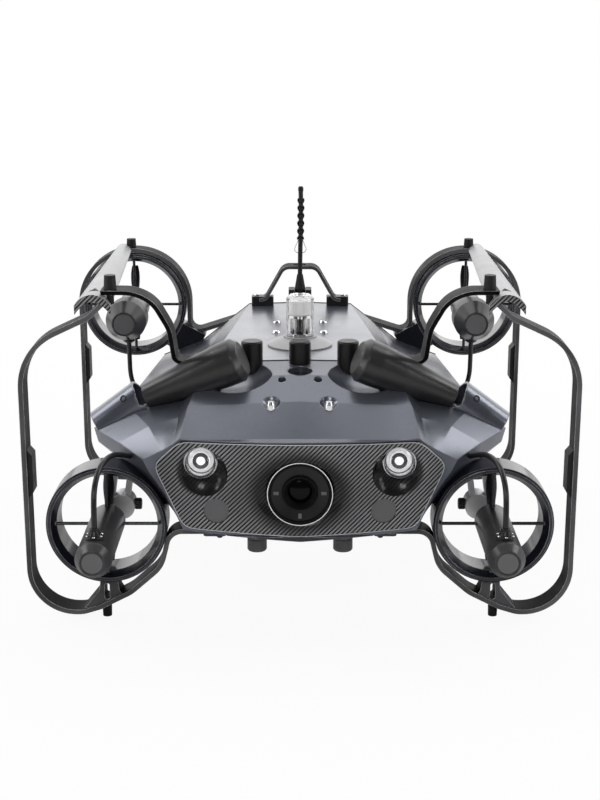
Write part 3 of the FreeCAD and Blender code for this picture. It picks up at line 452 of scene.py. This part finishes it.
class Finishes:
    """Every material of the vehicle, built once."""

    def __init__(self) -> None:
        """Build the materials."""
        # The edge colours below lighten each coating's edges, partly as wear and partly as painted
        # highlight; on the frames it is mostly painted highlight.
        self.hull = Coating(
            "slate_paint", (0.10, 0.108, 0.135), (0.115, 0.123, 0.152), roughness=0.3,
            metallic=0.55, coat=0.45, coat_roughness=0.2, grain_scale=3200.0, grain=0.04,
            patch_scale=9.0, edge=0.3, edge_colour=(0.5, 0.52, 0.56), rounding=0.0022).build()
        self.under = Coating(
            "navy_moulding", (0.0075, 0.0085, 0.013), (0.010, 0.0115, 0.017), roughness=0.22,
            metallic=0.1, coat=0.25, grain_scale=3000.0, grain=0.03, patch_scale=12.0, edge=0.7,
            edge_colour=(0.42, 0.44, 0.48), rounding=0.0016, specular=0.35).build()
        self.frame = Coating(
            "dark_anodised", (0.006, 0.0062, 0.007), (0.010, 0.0103, 0.011), roughness=0.42,
            grain_scale=4200.0, grain=0.04, patch_scale=14.0, edge=1.0,
            edge_colour=(0.72, 0.725, 0.74), rounding=0.0009, specular=0.03,
            cut_face_and_sheen=0.16).build()
        self.rail = Coating(
            "grey_anodised", (0.3, 0.303, 0.307), (0.35, 0.353, 0.357), roughness=0.42,
            metallic=0.2, coat=0.1, coat_roughness=0.2, grain_scale=4200.0, grain=0.04,
            patch_scale=10.0, edge=0.5, edge_colour=(0.7, 0.71, 0.72), rounding=0.0010).build()
        self.black = Coating(
            "black_moulding", (0.006, 0.006, 0.0064), (0.009, 0.009, 0.0094), roughness=0.36,
            grain_scale=2600.0, grain=0.1, patch_scale=16.0, edge=0.3,
            edge_colour=(0.12, 0.12, 0.125), rounding=0.0010, specular=0.3).build()
        self.pod = Coating(
            "pod_shell", (0.014, 0.014, 0.0145), (0.019, 0.019, 0.0195), roughness=0.34,
            coat=0.15, coat_roughness=0.22, grain_scale=3000.0, patch_scale=12.0, edge=0.3,
            edge_colour=(0.13, 0.13, 0.135), rounding=0.003, specular=0.4).build()
        self.ink = Coating(
            "inner_black", (0.0012, 0.0012, 0.0013), (0.0018, 0.0018, 0.002), roughness=0.6,
            grain_scale=2600.0, patch_scale=20.0, rounding=0.0004, specular=0.15).build()
        self.grey = Coating(
            "grey_cap", (0.1, 0.102, 0.104), (0.118, 0.12, 0.122), roughness=0.45,
            grain_scale=3000.0, grain=0.08, patch_scale=20.0, edge=0.2,
            edge_colour=(0.3, 0.3, 0.31), rounding=0.0006, specular=0.4).build()
        self.rubber = Coating(
            "rubber", (0.0055, 0.0055, 0.006), (0.0085, 0.0085, 0.009), roughness=0.5,
            grain_scale=1800.0, grain=0.2, patch_scale=25.0, edge=0.3,
            edge_colour=(0.09, 0.09, 0.092), specular=0.3).build()
        self.jacket = Coating(
            "cable_jacket", (0.005, 0.005, 0.0055), (0.008, 0.008, 0.0085), roughness=0.36,
            coat=0.12, coat_roughness=0.2, grain_scale=2200.0, grain=0.1, patch_scale=40.0,
            rounding=0.0003, specular=0.35).build()
        self.silver = Coating(
            "blasted_alloy", (0.56, 0.565, 0.57), (0.64, 0.645, 0.65), roughness=0.36,
            metallic=0.5, grain_scale=2400.0, grain=0.12, patch_scale=30.0, edge=0.4,
            edge_colour=(0.8, 0.8, 0.81), rounding=0.0009).build()
        self.white = Coating(
            "white_cap", (0.7, 0.7, 0.7), (0.76, 0.76, 0.76), roughness=0.3, coat=0.3,
            grain_scale=2400.0, grain=0.03, patch_scale=30.0).build()
        self.seam = Coating(
            "seam_shadow", (0.004, 0.004, 0.0045), (0.006, 0.006, 0.0065), roughness=0.6).build()
        self.bright = Bright("turned_steel").build()
        self.mirror = Bright("polished_reflector", (0.9, 0.9, 0.91), 0.08, 900.0).build()
        self.carbon = CarbonTwill().build()
        self.clear = Clear("clear_dome").build()
        self.lens = Coating(
            "lens_glass", (0.0012, 0.0012, 0.0016), (0.0018, 0.0018, 0.0022), roughness=0.12,
            grain_scale=2600.0, grain=0.0, patch_scale=40.0, rounding=0.0003,
            specular=0.12).build()
        self.lamp = Lamp().build()


# ------------------------------------------------------------------ shared building
def dress(material: bpy.types.Material, *nodes: str) -> None:
    """Give construction nodes a finish.

    Args:
        material: the finish.
        nodes: names of the nodes.
    """
    for name in nodes:
        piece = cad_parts[name]
        if not piece.material_slots:
            piece.data.materials.append(material)
        for slot in piece.material_slots:
            slot.material = material
        LOG.info("dressed %s", name)


def link(name: str, data: bpy.types.ID) -> bpy.types.Object:
    """Put an object with that name and data in the scene."""
    thing = bpy.data.objects.new(name, data)
    bpy.context.scene.collection.objects.link(thing)
    LOG.info("added %s", name)
    return thing


def link_mesh(name: str, mesh: bmesh.types.BMesh) -> bpy.types.Object:
    """Put a bmesh in the scene as an object with that name, and free it."""
    data = bpy.data.meshes.new(name)
    mesh.to_mesh(data)
    mesh.free()
    return link(name, data)


def add_piece(name: str, mesh: bmesh.types.BMesh,
              material: bpy.types.Material) -> bpy.types.Object:
    """Turn a bmesh into a piece that rides on the hull.

    Args:
        name: the piece's name.
        mesh: its geometry in metres; freed here.
        material: its finish.

    Returns:
        The new object.
    """
    bmesh.ops.recalc_face_normals(mesh, faces=mesh.faces)
    for face in mesh.faces:
        face.smooth = True
    for edge in mesh.edges:
        if len(edge.link_faces) == 2 and edge.calc_face_angle(0.0) > math.radians(SMOOTH_BELOW):
            edge.smooth = False
    piece = link_mesh(name, mesh)
    piece.data.materials.append(material)
    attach(piece, HULL)
    return piece


def wire(name: str, points: list[Vector], radius: float, material: bpy.types.Material,
         closed: bool = False) -> bpy.types.Object:
    """Round wire along a smooth curve, riding on the hull.

    Args:
        name: the piece's name.
        points: control points in metres.
        radius: the wire's radius in millimetres.
        material: its finish.
        closed: whether the wire is a loop.

    Returns:
        The curve object.
    """
    data = bpy.data.curves.new(name, "CURVE")
    data.dimensions = "3D"
    data.bevel_depth = radius * MM
    data.bevel_resolution = 3
    data.resolution_u = 10
    data.use_fill_caps = not closed
    spline = data.splines.new("NURBS")
    spline.points.add(len(points) - 1)
    for target, point in zip(spline.points, points):
        target.co = (*point, 1.0)
    spline.order_u = CURVE_ORDER
    spline.use_cyclic_u = closed
    spline.use_endpoint_u = not closed
    data.materials.append(material)
    piece = link(name, data)
    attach(piece, HULL)
    return piece


def turn(mesh: bmesh.types.BMesh, profile: Profile, base: Vector, axis: Vector,
         steps: int = 40) -> None:
    """Add a closed turned form to a bmesh.

    Args:
        mesh: the bmesh to add to.
        profile: (radius, height) in millimetres; a radius of 0 closes an end.
        base: the point of height 0, in metres.
        axis: the way up.
        steps: facets round the axis.
    """
    aim = UP.rotation_difference(axis.normalized()).to_matrix().to_4x4()
    place = Matrix.Translation(base) @ aim
    angles = [2 * math.pi * i / steps for i in range(steps)]
    rings = []
    for radius, height in profile:
        reach = radius * MM
        spots = [(reach * math.cos(angle), reach * math.sin(angle)) for angle in angles]
        if radius <= 0:
            spots = [(0.0, 0.0)]
        rings.append([mesh.verts.new(place @ Vector((x, y, height * MM))) for x, y in spots])
    for low, high in zip(rings, rings[1:]):
        for i in range(steps):
            j = (i + 1) % steps
            corners = (low[i % len(low)], low[j % len(low)],
                       high[j % len(high)], high[i % len(high)])
            mesh.faces.new(list(dict.fromkeys(corners)))


def ring_profile(inner: float, outer: float, low: float, high: float) -> Profile:
    """Profile of a flat ring that closes on itself."""
    return [(inner, low), (outer, low), (outer, high), (inner, high), (inner, low)]


def socket_head(mesh: bmesh.types.BMesh, base: Vector, axis: Vector, radius: float) -> None:
    """Add a domed screw head with a hexagonal socket, its radius in millimetres."""
    rim, top = radius * 0.5, radius * 0.62
    turn(mesh, [(0, -0.2), (radius, -0.2), (radius, radius * 0.3), (radius * 0.8, radius * 0.55),
                (rim, top)], base, axis, 24)
    turn(mesh, [(rim, top), (radius * 0.45, radius * 0.15), (0, radius * 0.15)], base, axis, 6)


def band(mesh: bmesh.types.BMesh, low: list[bmesh.types.BMVert],
         high: list[bmesh.types.BMVert]) -> None:
    """Join two closed loops of as many corners with four-sided faces."""
    for i in range(len(low)):
        j = (i + 1) % len(low)
        mesh.faces.new((low[i], low[j], high[j], high[i]))


def rounded_plate(mesh: bmesh.types.BMesh, base: Vector, size: Point, radius: float) -> None:
    """Add an upright slab with rounded corners and a broken lower edge.

    Args:
        mesh: the bmesh to add to.
        base: centre of its underside, in metres.
        size: half width, half depth and height, in metres.
        radius: corner radius, in metres.
    """
    outline = []
    for index, (sx, sy) in enumerate(((1, 1), (-1, 1), (-1, -1), (1, -1))):
        for step in range(5):
            angle = math.pi / 2 * (index + step / 4)
            outline.append((sx * (size[0] - radius) + radius * math.cos(angle),
                            sy * (size[1] - radius) + radius * math.sin(angle)))
    levels = ((0.0, 0.94), (0.0004, 1.0), (size[2], 1.0))
    loops = [[mesh.verts.new(base + Vector((x * share, y * share, lift))) for x, y in outline]
             for lift, share in levels]
    for low, high in zip(loops, loops[1:]):
        band(mesh, low, high)
    mesh.faces.new(loops[0][::-1])
    mesh.faces.new(loops[-1])


# ------------------------------------------------------------------ sub-assemblies
@dataclass
class Leads:
    """Motor leads and the tether, each a cord, with the tether's wrapped grip.

    The routes are control points, first the exit. The tether leans to the right by lean over
    lean_rise. grip_span and hoop give heights on it, hoop with the reach to each side.
    """

    finishes: Finishes
    lead: float = 5.5
    tether: float = 5.7
    front: tuple[Point, ...] = (
        (193.5, -304, 130.5), (193.5, -304, 148.5), (193.5, -295.5, 169), (190, -276, 183.5),
        (183, -250, 186), (175, -225, 179), (170, -206, 171),
    )
    rear: tuple[Point, ...] = (
        (204, 100, 218.5), (204, 100, 196), (203.5, 100, 178), (199, 99, 163), (188, 98, 153),
        (172, 97, 149), (158, 97, 148),
    )
    riser: tuple[Point, ...] = (
        (0, 110, 299), (0.2, 110, 324), (0.9, 110.3, 350), (1.2, 110.2, 376), (0.9, 110, 397),
    )
    lean: float = 1.1
    lean_rise: float = 77.0
    grip_y: float = 110.2
    grip_span: Place = (341.0, 388.0)
    grip_turns: float = 2.6
    grip_steps: int = 34
    strand: float = 0.95
    hoop_wire: float = 0.45
    hoop: tuple[Place, ...] = ((2.6, 340), (4.5, 335), (7.4, 329), (5.6, 325.5), (2.6, 324.5))

    def build(self) -> None:
        """Build every cord and what is on the tether."""
        for side in Side:
            for end, route in (("front", self.front), ("rear", self.rear)):
                points = [side.at(*spot) for spot in route]
                name = f"{end}_lead_{side.word}"
                cable = wire(name + "_jacket", points, self.lead / 2, self.finishes.jacket)
                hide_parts(name)
                tuple(points[0])
        points = [at(*spot) for spot in self.riser]
        cable = wire("tether_jacket", points, self.tether / 2, self.finishes.jacket)
        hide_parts("tether")
        grip = self.strands() + self.hoops()
        tuple(points[0])
        dress(self.finishes.rubber, "tether_boot", "tether_cap")

    def spine(self, height: float) -> Vector:
        """Centre of the tether at a height."""
        share = max(0.0, min(1.0, (height - self.riser[0][2]) / self.lean_rise))
        return at(self.lean * share, self.grip_y, height)

    def strands(self) -> list[bpy.types.Object]:
        """Four strands that cross round the tether."""
        pieces = []
        low, high = self.grip_span
        reach = self.tether / 2 + 0.55
        for hand, letter in ((1, "a"), (-1, "b")):
            for index, start in enumerate((0.0, math.pi)):
                points = []
                for i in range(self.grip_steps + 1):
                    share = i / self.grip_steps
                    angle = start + hand * 2 * math.pi * self.grip_turns * share
                    lift = reach + 0.3 * math.sin(angle * 2) * hand
                    way = Vector((math.cos(angle), math.sin(angle), 0))
                    points.append(self.spine(low + (high - low) * share) + way * lift * MM)
                strand = wire(f"grip_strand_{letter}{index}", points, self.strand,
                              self.finishes.rubber)
                pieces.append(strand)
        return pieces

    def hoops(self) -> list[bpy.types.Object]:
        """Wire hoop below the strands, in two halves."""
        pieces = []
        for side in Side:
            points = [self.spine(height) + Vector((side.value * reach * MM, 0, 0))
                      for reach, height in self.hoop]
            loop = wire(f"grip_hoop_{side.word}", points, self.hoop_wire, self.finishes.silver)
            pieces.append(loop)
        return pieces


@dataclass
class HullShells:
    """Painted shells, belly pan, cowls, seams and shell screws.

    In metres are seam_bead, the radius of the line in a joint; seam_low, below which there is
    none; cowl_slide and cowl_lift, from a cowl's crest to its screw; and strap_plate, as
    rounded_plate takes it. What has no mirror image here is built on both sides.
    """

    finishes: Finishes
    fore_seam: float = -115.0
    stern_seam: float = 198.0
    seam_inset: float = 0.4
    seam_bead: float = 0.0006
    seam_low: float = 0.1
    stern_face: float = 222.0
    stern_screws: tuple[Place, ...] = (
        (44, 226), (-44, 226), (0, 226), (120, 170), (-120, 170), (78, 116), (-78, 116),
    )
    cowl_crest: Point = (161, -141, 214)
    cowl_slide: float = 0.014
    cowl_lift: float = 0.0207
    sensor: Point = (44, -190, 0)
    strap: Point = (86, -205, 88.6)
    strap_plate: Point = (0.0115, 0.0085, 0.0042)
    strap_screws: tuple[Place, ...] = ((81, -210.5), (81, -199.5))
    pan_screws: tuple[Place, ...] = ((-28, -205), (0, -205), (28, -205))

    def build(self) -> None:
        """Dress the shells and add their seams and screws."""
        dress(self.finishes.hull, "front_shell", "rear_shell", "stern_cover", "cowls")
        dress(self.finishes.rail, "beacon_flange")
        dress(self.finishes.under, "belly_pan", "ring_arms")
        dress(self.finishes.bright, "shell_screws")
        dress(self.finishes.grey, "belly_sensors")
        self.seam("fore_seam", self.fore_seam + self.seam_inset)
        self.seam("stern_seam", self.stern_seam - self.seam_inset)
        self.screws()
        self.belly()

    def seam(self, name: str, y: float) -> None:
        """Dark joint line round the shell where two shells meet.

        Args:
            name: the piece's name.
            y: its plane.
        """
        shell = bmesh.new()
        shell.from_mesh(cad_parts["rear_shell"].data)
        cut = bmesh.ops.bisect_plane(shell, geom=[*shell.verts, *shell.edges, *shell.faces],
                                     plane_co=at(0, y, 0), plane_no=AFT)["geom_cut"]
        edges = [item for item in cut if isinstance(item, bmesh.types.BMEdge)]
        line = bmesh.new()
        made: dict[bmesh.types.BMVert, bmesh.types.BMVert] = {}
        for edge in edges:
            for vert in edge.verts:
                if vert not in made:
                    made[vert] = line.verts.new(vert.co)
        for edge in edges:
            if max(vert.co.z for vert in edge.verts) > self.seam_low:
                line.edges.new([made[vert] for vert in edge.verts])
        shell.free()
        loose = [vert for vert in line.verts if not vert.link_edges]
        bmesh.ops.delete(line, geom=loose, context="VERTS")
        bmesh.ops.remove_doubles(line, verts=line.verts, dist=1e-5)
        piece = link_mesh(name, line)
        skin = piece.modifiers.new("bead", "SKIN")
        skin.use_smooth_shade = True
        for vert in piece.data.skin_vertices[0].data:
            vert.radius = (self.seam_bead, self.seam_bead)
        depsgraph = bpy.context.evaluated_depsgraph_get()
        solid = bpy.data.meshes.new_from_object(piece.evaluated_get(depsgraph))
        piece.modifiers.clear()
        piece.data = solid
        solid.materials.append(self.finishes.seam)
        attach(piece, HULL)

    def belly(self) -> None:
        """Sensor tips, strap plates and screw heads under the belly."""
        tip = [(0, 66), (9, 66), (10, 67.2), (10, 78.5), (0, 78.5)]
        strap_head = [(0, 86.8), (2.2, 86.8), (2.9, 87.4), (2.9, 88.7), (0, 88.7)]
        pan_head = [(0, 83.5), (2.6, 83.5), (3.0, 84.2), (3.0, 86), (1.8, 86.2), (1.8, 89), (0, 89)]
        tips, plates, heads = bmesh.new(), bmesh.new(), bmesh.new()
        for side in Side:
            turn(tips, tip, side.at(*self.sensor), UP)
            rounded_plate(plates, side.at(*self.strap), self.strap_plate, 0.003)
            for x, y in self.strap_screws:
                turn(heads, strap_head, side.at(x, y, 0), UP, 20)
        for x, y in self.pan_screws:
            turn(heads, pan_head, at(x, y, 0), UP, 20)
        add_piece("belly_sensor_tips", tips, self.finishes.grey)
        add_piece("belly_strap_plates", plates, self.finishes.frame)
        add_piece("belly_screw_heads", heads, self.finishes.black)

    def screws(self) -> None:
        """Screws round the stern cover, and one in each cowl."""
        mesh = bmesh.new()
        for x, z in self.stern_screws:
            socket_head(mesh, at(x, self.stern_face, z), AFT, 3.2)
        add_piece("stern_screws", mesh, self.finishes.bright)
        mesh = bmesh.new()
        for side in Side:
            way = Vector((side.value * 0.8, 0, -0.6))
            out = Vector((side.value * 0.42, -0.71, 0.56)).normalized()
            seat = side.at(*self.cowl_crest) + way * self.cowl_slide + out * self.cowl_lift
            turn(mesh, ring_profile(2.2, 3.6, -0.6, 0.7), seat, out, 24)
            turn(mesh, [(0, -0.3), (2.2, -0.3), (2.2, 0.1), (0, 0.1)], seat, out, 24)
        add_piece("cowl_screws", mesh, self.finishes.black)


@dataclass
class Bezel:
    """Carbon bezel with its camera port, two lamps and two sensor windows.

    front is the Y of the face's middle and curve its radius. corner_cut is how far the trim keeps
    from a corner, and mark_size is half a mark's size.
    """

    finishes: Finishes
    front: float = -245.0
    curve: float = 618.0
    lens_z: float = 144.0
    lamp: Place = (97.5, 173.6)
    corner_cut: float = 5.0
    trim_step: float = 12.0
    trim_wire: float = 0.36
    mark_ring: float = 23.5
    mark_size: Place = (2.6, 1.7)
    outline: tuple[Place, ...] = (
        (118, 194), (144.5, 169), (115, 106), (0, 100), (-115, 106), (-144.5, 169), (-118, 194),
    )

    def face(self, x: float) -> float:
        """Y of the bezel's curved face at an X."""
        return self.front + self.curve - math.sqrt(self.curve * self.curve - x * x)

    def build(self) -> None:
        """Dress the bezel and add the trim line, marks and lamp internals."""
        dress(self.finishes.carbon, "bezel")
        dress(self.finishes.black, "camera_face")
        dress(self.finishes.ink, "camera_barrel", "camera_trim_ring")
        dress(self.finishes.lens, "camera_lens")
        dress(self.finishes.clear, "light_domes")
        dress(self.finishes.mirror, "light_cups")
        dress(self.finishes.lamp, "light_emitters")
        dress(self.finishes.grey, "sensor_windows")
        self.trim()
        self.marks()
        mesh = bmesh.new()
        turn(mesh, ring_profile(31.5, 32.3, -0.4, 0.5), at(0, self.front, self.lens_z), AFT, 72)
        add_piece("camera_trim_line", mesh, self.finishes.bright)
        self.lamps()

    def trim(self) -> None:
        """Fine bright line round the bezel's edge, with its corners cut."""
        corners = []
        for i, corner in enumerate(self.outline):
            for other in (self.outline[i - 1], self.outline[(i + 1) % len(self.outline)]):
                share = min(0.5, self.corner_cut / math.dist(corner, other))
                corners.append(between(corner, other, share))
        points = []
        for i, corner in enumerate(corners):
            following = corners[(i + 1) % len(corners)]
            count = max(1, int(math.dist(corner, following) / self.trim_step))
            for k in range(count):
                x, z = between(corner, following, k / count)
                points.append(at(x, self.face(x) - 0.1, z))
        edge = wire("bezel_trim", points, self.trim_wire, self.finishes.silver, closed=True)

    def marks(self) -> None:
        """Three small plain marks on the camera's face ring."""
        mesh = bmesh.new()
        long, broad = self.mark_size
        for angle in (0, 180, 270):
            way = Vector((math.cos(math.radians(angle)), 0, math.sin(math.radians(angle))))
            side = Vector((-way.z, 0, way.x))
            centre = at(0, self.front + 3.55, self.lens_z) + way * self.mark_ring * MM
            corners = [centre + way * a * long * MM + side * b * broad * MM
                       for a, b in ((-1, -1), (1, -1), (1, 1), (-1, 1))]
            low = [mesh.verts.new(corner) for corner in corners]
            high = [mesh.verts.new(corner + Vector((0, -0.0005, 0))) for corner in corners]
            mesh.faces.new(low)
            mesh.faces.new(high)
            band(mesh, low, high)
        add_piece("camera_marks", mesh, self.finishes.grey)

    def lamps(self) -> None:
        """Stepped reflectors, collars and chip rings inside each dome."""
        bowl = [(14.0, 12.5), (14.2, 12.0), (14.2, 13.0), (9.4, 20.5), (9.4, 19.9), (14.0, 12.5)]
        chip = [(0, 15.9), (4.3, 15.9), (4.3, 16.9), (0, 16.9)]
        bowls, chips, rings = bmesh.new(), bmesh.new(), bmesh.new()
        for side in Side:
            base = side.at(self.lamp[0], self.front - 1.0, self.lamp[1])
            turn(bowls, bowl, base, AFT)
            turn(bowls, ring_profile(14.3, 16.4, 11.6, 12.4), base, AFT)
            turn(rings, ring_profile(4.6, 8.2, 15.6, 16.9), base, AFT)
            turn(chips, chip, base, AFT)
        add_piece("lamp_reflectors", bowls, self.finishes.mirror)
        add_piece("lamp_rings", rings, self.finishes.black)
        add_piece("lamp_chips", chips, self.finishes.lamp)


@dataclass
class Frames:
    """Side frames, arms, rails, bumpers, feet and pads. A rail's end is an arch."""

    finishes: Finishes
    rail_x: float = 200.0
    rail_half: float = 17.6
    rail_crown: float = 337.0
    rail_drop: float = 11.0
    rail_face: float = -219.6
    steps: int = 14

    def build(self) -> None:
        """Dress the frames and add the rails' woven end plates."""
        dress(self.finishes.frame, "front_frame_left", "front_frame_right", "rear_frame_left",
              "rear_frame_right", "s_arms", "yokes", "carry_handle")
        dress(self.finishes.rail, "top_rails")
        dress(self.finishes.rubber, "bumpers", "feet", "side_pads")
        self.rail_ends()

    def rail_ends(self) -> None:
        """Woven facing on the front end of each arched rail, narrower towards its sides."""
        mesh = bmesh.new()
        for side in Side:
            outline = []
            for i in range(self.steps + 1):
                share = -1 + 2 * i / self.steps
                x = self.rail_x + share * self.rail_half
                crown = self.rail_crown - self.rail_drop * share * share
                outline.append((side.value * x, crown + 0.2))
                outline.append((side.value * x, crown - 6.5 - 2.0 * abs(share)))
            back, face = ([mesh.verts.new(at(x, y, z)) for x, z in outline]
                          for y in (self.rail_face + 0.8, self.rail_face))
            for a in range(0, 2 * self.steps, 2):
                b, c, d = a + 1, a + 3, a + 2
                mesh.faces.new((face[a], face[b], face[c], face[d]))
                mesh.faces.new((back[d], back[c], back[b], back[a]))
                mesh.faces.new((face[a], face[d], back[d], back[a]))
                mesh.faces.new((face[c], face[b], back[b], back[c]))
            for a, b in ((0, 1), (2 * self.steps + 1, 2 * self.steps)):
                mesh.faces.new((face[b], face[a], back[a], back[b]))
        add_piece("rail_end_plates", mesh, self.finishes.carbon)


@dataclass
class Thrusters:
    """Ducts, motors, propellers, glands and the front tail brackets.

    noses are the front and rear motors' noses, each with its disc's radius, and gland is the top
    of a front gland.
    """

    finishes: Finishes
    noses: tuple[tuple[float, Point], ...] = (
        (10.3, (193.5, -328, 104)), (12.3, (206, 70, 246.5)),
    )
    gland: Point = (193.5, -304, 123.5)
    gland_ring: float = 7.4

    def build(self) -> None:
        """Dress the thrusters and add nose caps and gland screws."""
        for side in Side:
            for end in ("front", "rear"):
                dress(self.finishes.under, f"{end}_duct_{side.word}")
                dress(self.finishes.black, f"{end}_propeller_{side.word}")
                dress(self.finishes.bright, f"{end}_shaft_{side.word}")
        dress(self.finishes.pod, "front_motors", "rear_motors")
        dress(self.finishes.silver, "tail_brackets")
        dress(self.finishes.black, "glands", "thumb_screws")
        self.nose_caps()
        self.gland_screws()

    def nose_caps(self) -> None:
        """Satin discs set in the motor noses."""
        mesh = bmesh.new()
        for side in Side:
            for radius, nose in self.noses:
                disc = [(0, 0.2), (radius - 0.5, 0.2), (radius, 0.7), (radius, 1.6), (0, 1.6)]
                turn(mesh, disc, side.at(*nose), AFT, 48)
        add_piece("motor_nose_discs", mesh, self.finishes.grey)

    def gland_screws(self) -> None:
        """Six small bright screws round each front gland."""
        mesh = bmesh.new()
        x, y, z = self.gland
        for side in Side:
            for step in range(6):
                angle = math.radians(30 + 60 * step)
                centre = at(side.value * x + self.gland_ring * math.cos(angle),
                            y + self.gland_ring * math.sin(angle), z)
                socket_head(mesh, centre, UP, 1.5)
        add_piece("gland_screws", mesh, self.finishes.bright)


@dataclass
class Deck:
    """Deck pods, posts, port, beacon, handle clamps and the tether's block.

    clamp_top is the Y and Z of the clamps' tops, and clamp_screws are the X of the screws there.
    strips are the angles of the beacon's bright strips.
    """

    finishes: Finishes
    clamp_top: Place = (189, 258)
    clamp_screws: tuple[float, ...] = (39, 54)
    beacon_base: Point = (0, -38, 248)
    strip_ring: float = 11.3
    strips: tuple[float, ...] = (-150, -115, -65, -30, 30, 90, 150)

    def build(self) -> None:
        """Dress the deck fittings."""
        dress(self.finishes.pod, "deck_pods")
        dress(self.finishes.black, "deck_posts", "deck_port", "handle_clamps", "tether_block",
              "beacon_core")
        dress(self.finishes.clear, "beacon_tube")
        self.beacon()
        mesh = bmesh.new()
        for side in Side:
            for x in self.clamp_screws:
                socket_head(mesh, side.at(x, *self.clamp_top), UP, 3.0)
        add_piece("clamp_screws", mesh, self.finishes.bright)

    def beacon(self) -> None:
        """White cap, and two rings joined by bright strips, inside the clear tube."""
        cap = [(0, 33), (11.5, 33), (12.4, 34), (12.4, 49), (10.5, 51.5), (0, 51.5)]
        base = at(*self.beacon_base)
        mesh = bmesh.new()
        turn(mesh, cap, base, UP)
        add_piece("beacon_cap", mesh, self.finishes.white)
        mesh = bmesh.new()
        for low, high in ((30.0, 33.0), (10.4, 13.0)):
            turn(mesh, ring_profile(11.0, 12.6, low, high), base, UP)
        for degrees in self.strips:
            angle = math.radians(degrees)
            way = Vector((math.cos(angle), math.sin(angle), 0))
            turn(mesh, [(0, 12), (1.2, 12), (1.2, 31), (0, 31)],
                 base + way * self.strip_ring * MM, UP, 12)
        add_piece("beacon_pillars", mesh, self.finishes.bright)


# ------------------------------------------------------------------ stage
@dataclass(frozen=True)
class Softbox:
    """A rectangular light that looks at the vehicle, in metres and watts."""

    name: str
    place: Point
    size: tuple[float, float]
    power: float

    def build(self) -> None:
        """Hang the light and turn it to the vehicle's middle."""
        data = bpy.data.lights.new(self.name, "AREA")
        data.shape = "RECTANGLE"
        data.size, data.size_y = self.size
        data.energy = self.power
        light = link(self.name, data)
        light.location = self.place
        way = Vector((0, 0, 0.15)) - Vector(self.place)
        light.rotation_euler = way.to_track_quat("-Z", "Y").to_euler()


@dataclass
class Studio:
    """Pale floor, white surroundings, soft lights and the camera, in metres.

    The surroundings look white. What they give to surfaces is fill at the bow, and rises to
    back_wall low down astern.
    """

    camera_at: Point = (0.0, -1.5385, 0.6)
    pitch: float = 15.0
    lens: float = 65.25
    floor_half: float = 9.0
    floor_tone: float = 0.7
    fill: float = 0.13
    back_wall: float = 1.6
    lamps: tuple[Softbox, ...] = (
        Softbox("overhead", (0.0, 1.1, 2.4), (2.6, 2.2), 26.0),
        Softbox("left_card", (-1.6, 0.3, 1.5), (0.8, 0.9), 11.0),
        Softbox("right_card", (1.6, 0.3, 1.5), (0.8, 0.9), 11.0),
        Softbox("left_strip", (-1.9, -0.9, 0.7), (0.4, 1.2), 9.0),
        Softbox("right_strip", (1.9, -0.9, 0.7), (0.4, 1.2), 9.0),
        Softbox("front_fill", (-0.3, -2.2, 1.6), (0.8, 0.6), 16.0),
    )

    def build(self) -> None:
        """Build the stage."""
        self.camera()
        self.floor()
        self.world()
        for lamp in self.lamps:
            lamp.build()

    def camera(self) -> None:
        """Camera at the viewing height, pitched down."""
        data = bpy.data.cameras.new("view")
        data.lens = self.lens
        data.sensor_width = 36.0
        data.clip_end = 50.0
        camera = link("view", data)
        camera.location = self.camera_at
        camera.rotation_euler = (math.radians(90 - self.pitch), 0, 0)
        bpy.context.scene.camera = camera

    def floor(self) -> None:
        """Large pale floor that keeps a faint shadow near the vehicle."""
        mesh = bmesh.new()
        bmesh.ops.create_grid(mesh, x_segments=1, y_segments=1, size=self.floor_half)
        floor = link_mesh("floor", mesh)
        graph = Graph.material("pale_floor")
        plain = graph.add("ShaderNodeBsdfDiffuse", {"Color": rgba((self.floor_tone,) * 3)})
        white = graph.add("ShaderNodeEmission", {"Color": rgba((1, 1, 1)), "Strength": 1.0})
        away = graph.add("ShaderNodeVectorMath", {0: graph.place()}, operation="LENGTH")
        share = graph.span(away.outputs["Value"], 0.45, 1.3, 0.93, 1.0)
        mix = graph.add("ShaderNodeMixShader", {0: graph.math("MULTIPLY", graph.seen(), share),
                                                1: plain.outputs[0], 2: white.outputs[0]})
        floor.data.materials.append(graph.finish(mix))

    def world(self) -> None:
        """White to look at, and for light brightest low down astern."""
        graph = Graph(bpy.data.worlds.new("studio"), "ShaderNodeOutputWorld")
        way = graph.add("ShaderNodeTexCoord").outputs["Generated"]
        axes = graph.add("ShaderNodeSeparateXYZ", {0: way}).outputs
        astern = graph.span(axes["Y"], -0.35, 0.8, 0.0, 1.0, "SMOOTHSTEP")
        low = graph.span(axes["Z"], 0.25, 1.0, 1.0, 0.24, "SMOOTHSTEP")
        lit = graph.span(graph.math("MULTIPLY", astern, low), 0.0, 1.0, self.fill, self.back_wall)
        strength = graph.span(graph.seen(), 0.0, 1.0, lit, 1.0)
        back = graph.add("ShaderNodeBackground", {"Color": rgba((1, 1, 1)), "Strength": strength})
        bpy.context.scene.world = graph.finish(back)


def main() -> None:
    """Build the stage, then every sub-assembly in order."""
    bpy.context.scene.view_settings.view_transform = "Standard"
    Studio().build()
    finishes = Finishes()
    for kind in (Leads, HullShells, Bezel, Frames, Thrusters, Deck):
        kind(finishes).build()
        LOG.info("built %s", kind.__name__)


if __name__ == "__main__":
    main()
